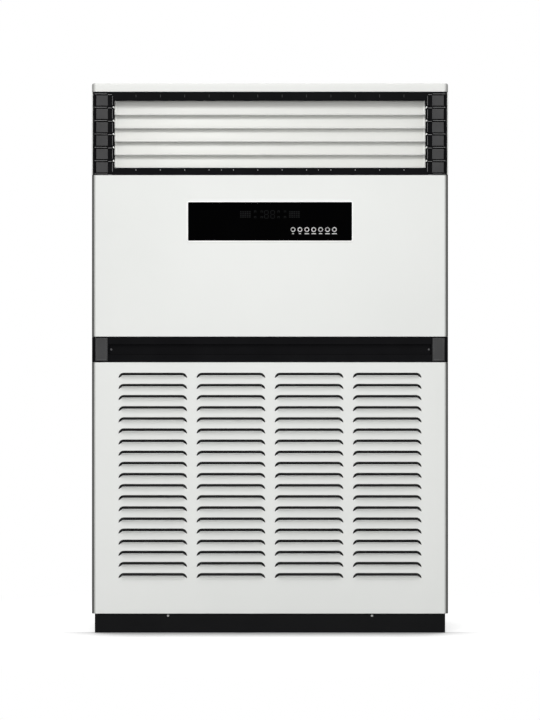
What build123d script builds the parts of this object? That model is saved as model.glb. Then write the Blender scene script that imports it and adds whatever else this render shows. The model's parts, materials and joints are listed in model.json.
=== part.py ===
from build123d import *
import os
from math import atan2, cos, degrees, hypot, radians, sin, tan

os.makedirs("parts", exist_ok=True)

# Floor standing cabinet air conditioner, in millimetres. +Z is up, the front looks along -Y, and the
# origin is on the floor under the middle of the cabinet.

# Cabinet
unit_width = 1200.0
unit_depth = 420.0
unit_height = 1850.0
sheet = 1.5  # folded steel sheet
moulding = 3.0  # wall of the plastic mouldings
fold = 16.0  # width of the folded edges
corner_radius = 12.0  # front corners
corner_depth = 25.0  # how far the front pieces wrap round the sides
seat_gap = 0.3  # between a piece and what carries it
seam_gap = 1.0  # seen joint between two front pieces
pin_gap = 0.06  # radial clearance of a pin in its bearing
link_gap = 0.12  # radial clearance of a pin in a link bar
pin_sides = 6  # small pins are drawn with a few flats, and so are drums and buttons
drum_sides = 12
arc_steps = 2  # straight steps in each rounded end of a louvre

# Bands of the front, from the floor up; the upper panel takes what is left
plinth_height = 64.0
intake_height = 846.5
trim_height = 85.8
outlet_height = 280.5
cover_height = 29.0

# Pressed louvres of the intake panel
louvre_columns = 4
louvre_rows = 19
louvre_height = 18.0
louvre_side_margin = 74.0  # from the cabinet's side to the outer column's cell
louvre_bridge = 32.0  # plain metal between two columns
louvre_top_margin = 35.5  # from the panel's top edge to the top row
louvre_base_margin = 118.9  # from the panel's lower edge to the lowest hinge
lip_reach = 10.0  # how far a lip stands out of the panel
lip_rise = 10.5  # height of a lip, seen from the front

# Base frame
base_setback = 6.0  # behind the front panels
base_inset = 10.0  # in from each side
base_wall = 2.5
base_flange = 45.0
anchor_hole_radius = 6.0
plinth_screw_inset = 256.5  # from the cabinet's side
plinth_screw_drop = 6.5  # below the plinth's top

# Trim between the two white panels
groove_height = 33.0
groove_depth = 8.0
trim_cap_width = 41.0
cap_lip = 3.0
trim_screw_inset = 65.0  # from the cabinet's side

# Air outlet
mouth_side = 75.0  # from the cabinet's side to the mouth
mouth_height = 227.5
mouth_drop = 28.5  # from the frame's top edge to the mouth
mouth_depth = 140.0
mouth_lip = 10.0  # the duct behind the face is this much taller, above and below
pocket_depth = 4.0
pocket_width = 57.0
tile_width = 39.0
tile_height = 34.6
tile_thickness = 3.4
tile_inset = 15.0  # from the cabinet's side
rib_height = 1.6
stud_count = 12
stud_margin = 74.0  # from the mouth's side to the first stud
stud_width = 4.6
stud_height = 4.0
stud_reach = 1.4
stud_rise = 16.5  # above the frame's lower edge

# Horizontal blades
blade_count = 5
blade_pitch = 45.0
blade_chord = 55.0
blade_thickness = 2.6
blade_camber = 3.5
blade_tilt = 22.0  # from upright, lower edge forward, at rest
blade_setback = 25.0  # pivots behind the frame's face
blade_end_gap = 2.0
blade_cheek = 5.0
cheek_depth = 8.4
blade_pin_radius = 3.0
bearing_thickness = 8.0
bearing_width = 26.0
tab_height = 5.0  # bearing tabs that show in notches beside the mouth
tab_proud = 0.5
crank_along = 31.0  # link pin, along the chord from the pivot
crank_back = 10.0  # link pin, behind the blade
crank_root = 12.0  # where the crank leaves the blade, along the chord
link_pin_radius = 2.0
link_bar_thickness = 4.0
link_bar_width = 7.0

# Vertical vanes
vane_count = 7
vane_margin = 81.0  # from the mouth's side to the first vane
vane_chord = 64.0
vane_thickness = 2.6
vane_setback = 98.0  # axes behind the frame's face
vane_pin_radius = 2.5
vane_rail_height = 5.0
vane_rail_width = 22.0
vane_end_gap = 1.0
vane_crank = 40.0  # link pin behind the vane's axis
vane_link_rise = 26.0  # above the lower rail
swing_motor_radius = 17.0
swing_motor_height = 13.0

# Display
lens_width = 551.0
lens_height = 129.0
lens_thickness = 2.5
lens_proud = 1.0
lens_corner = 10.0
lens_drop = 91.0  # from the upper panel's top edge to the lens
housing_rim = 12.0
housing_depth = 30.0
button_count = 7
button_pitch = 23.2
button_radius = 9.0
button_well_radius = 5.6
button_proud = 1.5
button_travel = 0.8
button_stem_radius = 3.0
button_first = 77.6  # from the middle of the lens
button_rise = 37.0  # above the lens's lower edge

# Fans
fan_drop = 278.5  # axis below the fan deck
fan_side = 270.0  # from the cabinet's side to the middle of a wheel
wheel_radius = 125.0
wheel_width = 240.0
wheel_ring = 21.0
wheel_disc = 3.0
wheel_blades = 12
wheel_hub_radius = 22.0
wheel_hub_length = 40.0
shaft_radius = 10.0
scroll_radius = 140.0
scroll_growth = 12.5
scroll_wall = 2.0
scroll_width = 284.0
scroll_inlet_radius = 104.0
scroll_tongue = 75.0  # degrees above the rear direction
scroll_sweep = 285.0  # degrees from the tongue round to the rear
scroll_steps = 12
scroll_flange = 8.0
scroll_rear_gap = 5.6  # behind each scroll's outlet, to the fan deck's rear edge
motor_radius = 85.0
motor_length = 190.0
motor_foot_height = 10.0
platform_drop = 220.0  # below the fans' axis
platform_front_gap = 33.2  # behind the side panels' front folds
platform_tail = 80.0  # its rear edge behind the fans' axis
deck_drop = 20.5  # deck below the outlet frame
liner_wall = 15.0

# Cooling coil
coil_side = 72.0  # from the cabinet's side to the fins
coil_head_room = 101.0  # below the fan platform
coil_thickness = 66.0
coil_lean = 10.0  # degrees, top towards the rear
coil_rise = 120.0  # lower edge above the floor
coil_y = -20.0  # middle of the coil
gas_pipe_radius = 11.1
liquid_pipe_radius = 6.35
drain_pipe_radius = 12.5
pipe_stub = 60.0  # bare end of each pipe
pipe_lagging = 3.0  # foam wall round the rest of its run
pipe_setback = 4.0  # pipe ends in front of the rear panel's fields
pan_depth = 45.0
pan_width = 150.0

# Rear
service_width = 190.0  # pipe opening, beside the service panel
service_height = 236.0
service_inset = 4.0  # from the side panel's fold
gland_radius = 17.0
gland_bore_radius = 10.0
emboss_depth = 3.0

# Worked-out places
half_width = unit_width / 2
face_y = lip_reach - unit_depth / 2
seam_y = face_y + corner_depth
rear_y = unit_depth / 2
side_front_y = seam_y + seat_gap
rear_seat_y = rear_y - sheet - seat_gap
inner_half = half_width - sheet
intake_top = plinth_height + intake_height
trim_top = intake_top + trim_height
cover_base = unit_height - cover_height
outlet_base = cover_base - outlet_height
base_top = plinth_height - seam_gap / 2
deck_top = outlet_base - deck_drop
deck_base = deck_top - sheet
fan_height = deck_base - fan_drop
fan_offset = half_width - fan_side
deck_front_y = side_front_y + sheet + seat_gap
deck_rear_y = rear_y - sheet - emboss_depth - seat_gap
scroll_reach = scroll_radius + scroll_growth * scroll_sweep / 90
fan_axis_y = deck_rear_y - scroll_rear_gap - scroll_reach
platform_height = fan_height - platform_drop
mouth_width = unit_width - 2 * mouth_side
vane_pitch = (mouth_width - 2 * vane_margin) / (vane_count - 1)
vane_places = [(i - (vane_count - 1) / 2) * vane_pitch for i in range(vane_count)]
front = Plane.XZ.offset(-face_y)


def wrapped_outline(inset):
    """Plan of a front piece with rounded corners, drawn inside its skin by the inset."""
    with BuildSketch() as plan:
        with Locations((0, face_y + inset)):
            Rectangle(unit_width - 2 * inset, corner_depth - 2 * inset, align=(Align.CENTER, Align.MIN))
        fillet(plan.vertices().group_by(Axis.Y)[0], corner_radius - inset)
    return plan.sketch


def hollow_outline():
    """Plan of the hollow in a moulded front piece, open at the back."""
    with BuildSketch() as plan:
        with Locations((0, face_y + moulding)):
            Rectangle(unit_width - 2 * moulding, corner_depth, align=(Align.CENTER, Align.MIN))
        fillet(plan.vertices().group_by(Axis.Y)[0], corner_radius - moulding)
    return plan.sketch


def folded_section():
    """Plan of a folded front sheet: face, round corners, and edges folded inwards at the back."""
    with BuildSketch() as plan:
        add(wrapped_outline(0))
        add(wrapped_outline(sheet), mode=Mode.SUBTRACT)
        with Locations((0, seam_y)):
            Rectangle(unit_width - 2 * fold, 3 * sheet, mode=Mode.SUBTRACT)
    return plan.sketch


def fold_strip():
    """Plan of the sheet folded back along a front panel's upper or lower edge."""
    with BuildSketch() as plan:
        with Locations((0, face_y)):
            Rectangle(unit_width - 2 * corner_radius, fold, align=(Align.CENTER, Align.MIN))
    return plan.sketch


def span(low, high):
    """Middle of two values."""
    return (low + high) / 2


# Base frame: a ring of C-section with a hole for an anchor in each corner
base_front_y = face_y + base_setback
base_half = half_width - base_inset
base_depth = rear_seat_y - base_front_y
base_y = span(base_front_y, rear_seat_y)
anchor_spacing_x = 2 * base_half - base_flange
anchor_spacing_y = base_depth - base_flange
with BuildPart() as base_frame:
    with BuildSketch():
        with Locations((0, base_y)):
            Rectangle(2 * base_half, base_depth)
    extrude(amount=base_top)
    with BuildSketch(Plane.XY.offset(base_wall)):
        with Locations((0, base_y)):
            Rectangle(2 * (base_half - base_wall), base_depth - 2 * base_wall)
    extrude(amount=base_top - 2 * base_wall, mode=Mode.SUBTRACT)
    with BuildSketch():
        with Locations((0, base_y)):
            Rectangle(2 * (base_half - base_flange), base_depth - 2 * base_flange)
    extrude(amount=base_top, mode=Mode.SUBTRACT)
    with BuildSketch():
        with Locations((0, base_y)):
            with GridLocations(anchor_spacing_x, anchor_spacing_y, 2, 2):
                Circle(anchor_hole_radius)
    extrude(amount=base_wall, mode=Mode.SUBTRACT)
base_frame.part.label = "base_frame"
export_step(base_frame.part, "parts/base_frame.step")

# Side panels: a tray with folded edges that stands on the base and carries the other sheets
side_base = base_top + seat_gap
side_height = cover_base - side_base
side_depth = rear_seat_y - side_front_y
with BuildPart() as right_side_panel:
    with BuildSketch(Plane.XY.offset(side_base)):
        with Locations((half_width, side_front_y)):
            Rectangle(fold + sheet, side_depth, align=(Align.MAX, Align.MIN))
    extrude(amount=side_height)
    with BuildSketch(Plane.XY.offset(side_base + sheet)):
        with Locations((inner_half, side_front_y + sheet)):
            Rectangle(fold, side_depth - 2 * sheet, align=(Align.MAX, Align.MIN))
    extrude(amount=side_height - 2 * sheet, mode=Mode.SUBTRACT)
right_side_panel.part.label = "right_side_panel"
export_step(right_side_panel.part, "parts/right_side_panel.step")

with BuildPart() as left_side_panel:
    add(right_side_panel.part)
    mirror(about=Plane.YZ, mode=Mode.REPLACE)
left_side_panel.part.label = "left_side_panel"
export_step(left_side_panel.part, "parts/left_side_panel.step")

# Service panel, low on the rear: it leaves one corner open for the pipes and holds the cable gland
rear_base = base_top + seat_gap
rear_top = cover_base - seat_gap
service_x = half_width - fold - service_inset - service_width / 2
service_z = rear_base + service_height / 2
service_half = half_width - seat_gap  # half width of the rear sheets
service_edge = service_x - service_width / 2
gland_x = -service_x
gland_z = service_z
with BuildPart() as service_panel:
    with BuildSketch(Plane.XZ.offset(-rear_y)):
        with Locations((-service_half, rear_base)):
            Rectangle(service_edge + service_half, service_height - seat_gap, align=(Align.MIN, Align.MIN))
        with Locations((gland_x, gland_z)):
            RegularPolygon(gland_radius + seat_gap, drum_sides, mode=Mode.SUBTRACT)
    extrude(amount=sheet)
service_panel.part.label = "service_panel"
export_step(service_panel.part, "parts/service_panel.step")

# Rear panel above it, with two pressed fields
upper_rear_base = rear_base + service_height
field_width = unit_width - 8 * fold
field_base = upper_rear_base + fold
field_top = rear_top - 3 * fold
field_middle = span(field_base, field_top)
field_height = (field_top - field_base) / 2 - fold
field_centres = [(0, field_middle - fold / 2 - field_height / 2), (0, field_middle + fold / 2 + field_height / 2)]
with BuildPart() as rear_panel:
    with BuildSketch(Plane.XZ.offset(-rear_y)):
        with Locations((0, span(upper_rear_base, rear_top))):
            Rectangle(2 * service_half, rear_top - upper_rear_base)
    extrude(amount=sheet)
    with BuildSketch(Plane.XZ.offset(-rear_y)):
        with Locations(*field_centres):
            Rectangle(field_width, field_height)
    extrude(amount=emboss_depth + sheet)
    with BuildSketch(Plane.XZ.offset(-rear_y)):
        with Locations(*field_centres):
            Rectangle(field_width - 2 * sheet, field_height - 2 * sheet)
    extrude(amount=emboss_depth, mode=Mode.SUBTRACT)
rear_panel.part.label = "rear_panel"
export_step(rear_panel.part, "parts/rear_panel.step")

# Cable gland in the service panel: a flanged bush
gland_flange_radius = gland_radius + 6.0
gland_depth = 14.0
gland_flange = 3.0
gland_inner_y = rear_y - sheet - seat_gap
with BuildPart() as cable_gland:
    with BuildSketch(Plane.XZ.offset(-rear_y)):
        with Locations((gland_x, gland_z)):
            RegularPolygon(gland_radius, drum_sides)
    extrude(amount=gland_depth)
    with BuildSketch(Plane.XZ.offset(-gland_inner_y)):
        with Locations((gland_x, gland_z)):
            RegularPolygon(gland_flange_radius, 6)
    extrude(amount=gland_flange)
    with BuildSketch(Plane.XZ.offset(-rear_y)):
        with Locations((gland_x, gland_z)):
            RegularPolygon(gland_bore_radius, pin_sides)
    extrude(amount=gland_depth, mode=Mode.SUBTRACT)
cable_gland.part.label = "cable_gland"
export_step(cable_gland.part, "parts/cable_gland.step")

# Top cover: a shallow cap with rounded front corners and bevelled top edges
cover_edge = 6.0
cover_skirt_base = cover_base + seat_gap
with BuildPart() as top_cover:
    with BuildSketch(Plane.XY.offset(cover_skirt_base)) as cover_plan:
        with Locations((0, face_y)):
            Rectangle(unit_width, rear_y - face_y, align=(Align.CENTER, Align.MIN))
        fillet(cover_plan.vertices().group_by(Axis.Y)[0], corner_radius)
    extrude(amount=unit_height - cover_skirt_base)
    chamfer(top_cover.faces().sort_by(Axis.Z)[-1].edges(), cover_edge)
    with BuildSketch(Plane.XY.offset(cover_skirt_base)) as cover_hollow:
        with Locations((0, face_y + sheet)):
            Rectangle(2 * inner_half, rear_y - face_y - 2 * sheet, align=(Align.CENTER, Align.MIN))
        fillet(cover_hollow.vertices().group_by(Axis.Y)[0], corner_radius - sheet)
    extrude(amount=unit_height - cover_skirt_base - cover_edge, mode=Mode.SUBTRACT)
top_cover.part.label = "top_cover"
export_step(top_cover.part, "parts/top_cover.step")

# Upper front panel, with the opening for the display
upper_base = trim_top + seam_gap / 2
upper_top = outlet_base - seam_gap / 2
lens_z = upper_top - lens_drop - lens_height / 2
with BuildPart() as upper_front_panel:
    with BuildSketch(Plane.XY.offset(upper_base)):
        add(folded_section())
    extrude(amount=upper_top - upper_base)
    for level in (upper_base, upper_top - sheet):
        with BuildSketch(Plane.XY.offset(level)):
            add(fold_strip())
        extrude(amount=sheet)
    with BuildSketch(front):
        with Locations((0, lens_z)):
            RectangleRounded(lens_width + 2 * seat_gap, lens_height + 2 * seat_gap, lens_corner + seat_gap)
    extrude(amount=-sheet, mode=Mode.SUBTRACT)
upper_front_panel.part.label = "upper_front_panel"
export_step(upper_front_panel.part, "parts/upper_front_panel.step")

# Intake panel: rows of louvres, each an arched cut with the metal below it pressed out as a lip
intake_base = plinth_height + seam_gap / 2
intake_edge = intake_top - seam_gap / 2
lip_angle = degrees(atan2(lip_reach, lip_rise))
lip_length = hypot(lip_reach, lip_rise)
mitre = sheet * tan(radians(lip_angle / 2))
louvre_column_pitch = (unit_width - 2 * louvre_side_margin) / louvre_columns
louvre_width = louvre_column_pitch - louvre_bridge
hinge_span = intake_height - louvre_top_margin - louvre_height - louvre_base_margin
louvre_row_pitch = hinge_span / (louvre_rows - 1)
top_hinge_z = intake_top - louvre_top_margin - louvre_height
column_places = [(i - (louvre_columns - 1) / 2) * louvre_column_pitch for i in range(louvre_columns)]
hinge_lines = [top_hinge_z - i * louvre_row_pitch for i in range(louvre_rows)]
lip_planes = [
    Plane(
        origin=(0, face_y, z),
        x_dir=(1, 0, 0),
        z_dir=(0, -cos(radians(lip_angle)), -sin(radians(lip_angle))),
    )
    for z in hinge_lines
]

arch_shoulder = louvre_width / 2 - louvre_height
arch_turns = [radians(90 * i / arc_steps) for i in range(arc_steps + 1)]
arch_end = [(arch_shoulder + louvre_height * cos(turn), louvre_height * sin(turn)) for turn in arch_turns]

with BuildSketch() as louvre_arch:
    with BuildLine():
        Polyline(*arch_end, *[(-x, z) for x, z in reversed(arch_end)], close=True)
    make_face()

with BuildSketch() as louvre_lip:
    with BuildLine():
        Polyline(
            (-louvre_width / 2, -mitre),
            (louvre_width / 2, -mitre),
            (louvre_width / 2 - lip_length, lip_length),
            (lip_length - louvre_width / 2, lip_length),
            close=True,
        )
    make_face()

with BuildPart() as lower_front_panel:
    with BuildSketch(Plane.XY.offset(intake_base)):
        add(folded_section())
    extrude(amount=intake_edge - intake_base)
    for level in (intake_base, intake_edge - sheet):
        with BuildSketch(Plane.XY.offset(level)):
            add(fold_strip())
        extrude(amount=sheet)
    with BuildSketch(front):
        with Locations(*[(x, z + mitre) for z in hinge_lines for x in column_places]):
            add(louvre_arch.sketch)
    extrude(amount=-sheet, mode=Mode.SUBTRACT)
    with BuildSketch(*lip_planes):
        with Locations(*[(x, 0) for x in column_places]):
            add(louvre_lip.sketch)
    extrude(amount=-sheet)
lower_front_panel.part.label = "lower_front_panel"
export_step(lower_front_panel.part, "parts/lower_front_panel.step")

# Trim moulding between the white panels, with a long groove and a window at each end
trim_base = intake_top + seam_gap / 2
trim_edge = trim_top - seam_gap / 2
trim_z = span(trim_base, trim_edge)
trim_cap_x = half_width - corner_radius - trim_cap_width / 2
cap_height = trim_edge - trim_base - 2 * (moulding + seat_gap)
groove_half = trim_cap_x - (trim_cap_width + cap_lip) / 2 - moulding - seat_gap
with BuildPart() as middle_trim:
    with BuildSketch(Plane.XY.offset(trim_base)):
        add(wrapped_outline(0))
    extrude(amount=trim_edge - trim_base)
    with BuildSketch(Plane.XY.offset(trim_base + moulding)):
        add(hollow_outline())
    extrude(amount=trim_edge - trim_base - 2 * moulding, mode=Mode.SUBTRACT)
    with BuildSketch(front):
        with Locations((0, trim_z)):
            Rectangle(2 * (groove_half + moulding), groove_height + 2 * moulding)
    extrude(amount=-(groove_depth + moulding))
    with BuildSketch(front):
        with Locations((0, trim_z)):
            Rectangle(2 * groove_half, groove_height)
    extrude(amount=-groove_depth, mode=Mode.SUBTRACT)
    with BuildSketch(front):
        with Locations((-trim_cap_x, trim_z), (trim_cap_x, trim_z)):
            Rectangle(trim_cap_width + 2 * seat_gap, cap_height + 2 * seat_gap)
    extrude(amount=-moulding, mode=Mode.SUBTRACT)
middle_trim.part.label = "middle_trim"
export_step(middle_trim.part, "parts/middle_trim.step")

# End caps of the trim, each clipped in its window from behind
with BuildPart() as trim_end_caps:
    with BuildSketch(front):
        with Locations((-trim_cap_x, trim_z), (trim_cap_x, trim_z)):
            Rectangle(trim_cap_width, cap_height)
    extrude(amount=-(moulding + seat_gap))
    with BuildSketch(Plane.XZ.offset(-(face_y + moulding + seat_gap))):
        with Locations((-trim_cap_x, trim_z), (trim_cap_x, trim_z)):
            Rectangle(trim_cap_width + cap_lip, cap_height - cap_lip)
            Rectangle(trim_cap_width - cap_lip, cap_height - 3 * cap_lip, mode=Mode.SUBTRACT)
    extrude(amount=-moulding)
trim_end_caps.part.label = "trim_end_caps"
export_step(trim_end_caps.part, "parts/trim_end_caps.step")

# Outlet frame: a moulded front with the air mouth and a column of tile pockets on each side
frame_base = outlet_base + seam_gap / 2
frame_edge = cover_base - seam_gap / 2
mouth_top = cover_base - mouth_drop
mouth_base = mouth_top - mouth_height
mouth_z = span(mouth_base, mouth_top)
mouth_half = mouth_width / 2
duct_height = mouth_height + 2 * mouth_lip
mouth_rear_y = face_y + mouth_depth
tile_count = blade_count + 1
tile_x = half_width - tile_inset - tile_width / 2
pocket_x = half_width - tile_inset + moulding - pocket_width / 2
pocket_height = blade_pitch - rib_height
blade_pivot_y = face_y + blade_setback
pivot_levels = [mouth_z + (i - (blade_count - 1) / 2) * blade_pitch for i in range(blade_count)]
tile_levels = [mouth_z + (i - (tile_count - 1) / 2) * blade_pitch for i in range(tile_count)]
pocket_places = [(side * pocket_x, z) for side in (-1, 1) for z in tile_levels]
tile_places = [(side * tile_x, z) for side in (-1, 1) for z in tile_levels]
pivot_slot = 2 * blade_pin_radius + 2.0
notch_depth = moulding + 4 * seat_gap
with BuildPart() as outlet_frame:
    with BuildSketch(Plane.XY.offset(frame_base)):
        add(wrapped_outline(0))
    extrude(amount=frame_edge - frame_base)
    with BuildSketch(Plane.XY.offset(frame_base + moulding)):
        add(hollow_outline())
    extrude(amount=frame_edge - frame_base - 2 * moulding, mode=Mode.SUBTRACT)
    with BuildSketch(front):
        with Locations(*pocket_places):
            Rectangle(pocket_width + 2 * moulding, blade_pitch)
    extrude(amount=-(pocket_depth + moulding))
    with BuildSketch(front):
        with Locations((0, mouth_z)):
            Rectangle(mouth_width + 2 * moulding, duct_height + 2 * moulding)
    extrude(amount=-mouth_depth)
    with BuildSketch(Plane.XZ.offset(-(face_y + moulding))):
        with Locations((0, mouth_z)):
            Rectangle(mouth_width, duct_height)
    extrude(amount=-mouth_depth, mode=Mode.SUBTRACT)
    with BuildSketch(front):
        with Locations((0, mouth_z)):
            Rectangle(mouth_width, mouth_height)
    extrude(amount=-moulding, mode=Mode.SUBTRACT)
    with BuildSketch(front):
        with Locations(*pocket_places):
            Rectangle(pocket_width, pocket_height)
    extrude(amount=-pocket_depth, mode=Mode.SUBTRACT)
    with BuildSketch(Plane.YZ.offset(-mouth_half - moulding)):
        with Locations(*[(blade_pivot_y, z) for z in pivot_levels]):
            Rectangle(pivot_slot, pivot_slot)
    extrude(amount=mouth_width + 2 * moulding, mode=Mode.SUBTRACT)
    with BuildSketch(front):
        with Locations(*[(0, z) for z in pivot_levels]):
            Rectangle(mouth_width + 2 * notch_depth, tab_height + 2 * seat_gap)
    extrude(amount=-(blade_setback + pivot_slot / 2), mode=Mode.SUBTRACT)
outlet_frame.part.label = "outlet_frame"
export_step(outlet_frame.part, "parts/outlet_frame.step")

# Tiles in the side pockets, with a bevelled front edge
tile_back_y = face_y + pocket_depth - seat_gap
tile_bevel = 1.2
with BuildPart() as side_tiles:
    with BuildSketch(Plane.XZ.offset(-tile_back_y)):
        with Locations(*tile_places):
            Rectangle(tile_width, tile_height)
    extrude(amount=tile_thickness)
    chamfer(side_tiles.faces().filter_by(lambda f: f.normal_at().Y < -0.9).edges(), tile_bevel)
side_tiles.part.label = "side_tiles"
export_step(side_tiles.part, "parts/side_tiles.step")

# White snap studs along the frame's lower strip
stud_pitch = (mouth_width - 2 * stud_margin) / (stud_count - 1)
stud_places = [((i - (stud_count - 1) / 2) * stud_pitch, frame_base + stud_rise) for i in range(stud_count)]
with BuildPart() as frame_studs:
    with BuildSketch(front):
        with Locations(*stud_places):
            Rectangle(stud_width, stud_height)
    extrude(amount=stud_reach)
frame_studs.part.label = "frame_studs"
export_step(frame_studs.part, "parts/frame_studs.step")

# Bearing strips behind the mouth's side walls; each pin snaps into a slot from the rear
bearing_x = mouth_half + moulding + seat_gap
bearing_top = pivot_levels[-1] + blade_pitch / 2
bearing_base = pivot_levels[0] - blade_pitch / 2
slot_height = 2 * (blade_pin_radius + pin_gap)
tab_front_y = face_y - tab_proud
tab_length = blade_pivot_y - slot_height / 2 - tab_front_y - seat_gap
with BuildPart() as blade_bearings:
    with BuildSketch(Plane.YZ.offset(bearing_x)):
        with Locations((blade_pivot_y, span(bearing_base, bearing_top))):
            Rectangle(bearing_width, bearing_top - bearing_base)
        with Locations(*[(blade_pivot_y - slot_height / 2, z) for z in pivot_levels]):
            Rectangle(bearing_width, slot_height, align=(Align.MIN, Align.CENTER), mode=Mode.SUBTRACT)
    extrude(amount=bearing_thickness)
    with BuildSketch(Plane.YZ.offset(mouth_half + seat_gap)):
        with Locations(*[(tab_front_y, z) for z in pivot_levels]):
            Rectangle(tab_length, tab_height, align=(Align.MIN, Align.CENTER))
    extrude(amount=bearing_x - mouth_half + seat_gap)
    mirror(about=Plane.YZ)
blade_bearings.part.label = "blade_bearings"
export_step(blade_bearings.part, "parts/blade_bearings.step")

# Horizontal blades: cambered, with end cheeks, pins, and a crank behind the upper edge for the link bar
blade_half = mouth_half - blade_end_gap
blade_pin_length = blade_end_gap + moulding + seat_gap + bearing_thickness
link_x = (vane_places[1] + vane_places[2]) / 2  # between two vanes
crank_x = link_x + link_bar_thickness / 2 + seat_gap
crank_thickness = 3.0
crank_pin_length = link_bar_thickness + 2 * seat_gap + 1.0
half_chord = blade_chord / 2
tilt_sin = sin(radians(blade_tilt))
tilt_cos = cos(radians(blade_tilt))


def blade_plane(x, pivot_z):
    """Section plane of a blade: its first axis runs up the chord, its second to the front."""
    return Plane(origin=(x, blade_pivot_y, pivot_z), x_dir=(0, tilt_sin, tilt_cos), z_dir=(1, 0, 0))


for number, pivot_z in enumerate(reversed(pivot_levels), start=1):
    with BuildPart() as louvre_blade:
        with BuildSketch(blade_plane(0, pivot_z)):
            with BuildLine():
                ThreePointArc((-half_chord, 0), (0, blade_camber), (half_chord, 0))
                Line((half_chord, 0), (half_chord, -blade_thickness))
                ThreePointArc(
                    (half_chord, -blade_thickness),
                    (0, blade_camber - blade_thickness),
                    (-half_chord, -blade_thickness),
                )
                Line((-half_chord, -blade_thickness), (-half_chord, 0))
            make_face()
        extrude(amount=blade_half, both=True)
        with BuildSketch(blade_plane(-blade_half, pivot_z), blade_plane(blade_half - blade_cheek, pivot_z)):
            Rectangle(blade_chord - 2 * blade_thickness, cheek_depth)
        extrude(amount=blade_cheek)
        with BuildSketch(blade_plane(0, pivot_z).offset(crank_x)):
            with BuildLine():
                Polyline(
                    (crank_root, blade_camber - blade_thickness),
                    (half_chord - blade_thickness, -blade_thickness / 2),
                    (crank_along + 2 * link_pin_radius, -crank_back),
                    (crank_along, -crank_back - 2 * link_pin_radius),
                    close=True,
                )
            make_face()
        extrude(amount=crank_thickness)
        with BuildSketch(blade_plane(0, pivot_z).offset(crank_x)):
            with Locations((crank_along, -crank_back)):
                RegularPolygon(link_pin_radius, pin_sides)
        extrude(amount=-crank_pin_length)
        with BuildSketch(blade_plane(0, pivot_z).offset(blade_half)):
            RegularPolygon(blade_pin_radius, pin_sides)
        extrude(amount=blade_pin_length)
        with BuildSketch(blade_plane(0, pivot_z).offset(-blade_half)):
            RegularPolygon(blade_pin_radius, pin_sides)
        extrude(amount=-blade_pin_length)
    louvre_blade.part.label = f"louvre_blade_{number}"
    export_step(louvre_blade.part, f"parts/louvre_blade_{number}.step")

# Link bar behind the blades; each crank pin snaps into a slot from the front
crank_pin_y = blade_pivot_y + crank_along * tilt_sin + crank_back * tilt_cos
crank_pin_rise = crank_along * tilt_cos - crank_back * tilt_sin
link_slot = 2 * (link_pin_radius + link_gap)
link_base = pivot_levels[0] + crank_pin_rise - link_bar_width / 2
link_top = pivot_levels[-1] + crank_pin_rise + link_bar_width / 2
with BuildPart() as blade_link_bar:
    with BuildSketch(Plane.YZ.offset(link_x)):
        with Locations((crank_pin_y, span(link_base, link_top))):
            Rectangle(link_bar_width, link_top - link_base)
        with Locations(*[(crank_pin_y + link_slot / 2, z + crank_pin_rise) for z in pivot_levels]):
            Rectangle(link_bar_width, link_slot, align=(Align.MAX, Align.CENTER), mode=Mode.SUBTRACT)
    extrude(amount=link_bar_thickness / 2, both=True)
blade_link_bar.part.label = "blade_link_bar"
export_step(blade_link_bar.part, "parts/blade_link_bar.step")

# Comb rails at the mouth's floor and ceiling, which hold the vanes' pins
vane_axis_y = face_y + vane_setback
rail_base = mouth_z - duct_height / 2 + seat_gap
rail_top = mouth_z + duct_height / 2 - seat_gap
vane_slot = 2 * (vane_pin_radius + pin_gap)
with BuildPart() as vane_rails:
    with BuildSketch(Plane.XY.offset(rail_base), Plane.XY.offset(rail_top - vane_rail_height)):
        with Locations((0, vane_axis_y)):
            Rectangle(mouth_width - 2 * seat_gap, vane_rail_width)
        with Locations(*[(x, vane_axis_y - vane_slot / 2) for x in vane_places]):
            Rectangle(vane_slot, vane_rail_width, align=(Align.CENTER, Align.MIN), mode=Mode.SUBTRACT)
    extrude(amount=vane_rail_height)
vane_rails.part.label = "vane_rails"
export_step(vane_rails.part, "parts/vane_rails.step")

# Vertical vanes: tapered plates with a pin at each end and a finger to the link bar
vane_base = rail_base + vane_rail_height + vane_end_gap
vane_top = rail_top - vane_rail_height - vane_end_gap
vane_pin_length = vane_end_gap + vane_rail_height
vane_link_z = rail_base + vane_rail_height + vane_link_rise
finger_height = 3.0
half_vane = vane_chord / 2
for number, x in enumerate(vane_places, start=1):
    with BuildPart() as vane:
        with BuildSketch(Plane.XY.offset(vane_base)):
            with BuildLine():
                Polyline(
                    (x, vane_axis_y - half_vane),
                    (x + vane_thickness / 2, vane_axis_y - half_vane / 2),
                    (x + vane_thickness / 2, vane_axis_y),
                    (x, vane_axis_y + half_vane),
                    (x - vane_thickness / 2, vane_axis_y),
                    (x - vane_thickness / 2, vane_axis_y - half_vane / 2),
                    close=True,
                )
            make_face()
        extrude(amount=vane_top - vane_base)
        with BuildSketch(Plane.XY.offset(vane_base - vane_pin_length), Plane.XY.offset(vane_top)):
            with Locations((x, vane_axis_y)):
                RegularPolygon(vane_pin_radius, pin_sides)
        extrude(amount=vane_pin_length)
        with BuildSketch(Plane.XY.offset(vane_link_z + link_bar_thickness / 2 + seat_gap)):
            with Locations((x, vane_axis_y)):
                Rectangle(4 * link_pin_radius, vane_crank + 2 * link_pin_radius, align=(Align.CENTER, Align.MIN))
        extrude(amount=finger_height)
        with BuildSketch(Plane.XY.offset(vane_link_z + link_bar_thickness / 2 + seat_gap)):
            with Locations((x, vane_axis_y + vane_crank)):
                RegularPolygon(link_pin_radius, pin_sides)
        extrude(amount=-crank_pin_length)
    vane.part.label = f"vane_{number}"
    export_step(vane.part, f"parts/vane_{number}.step")

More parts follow.
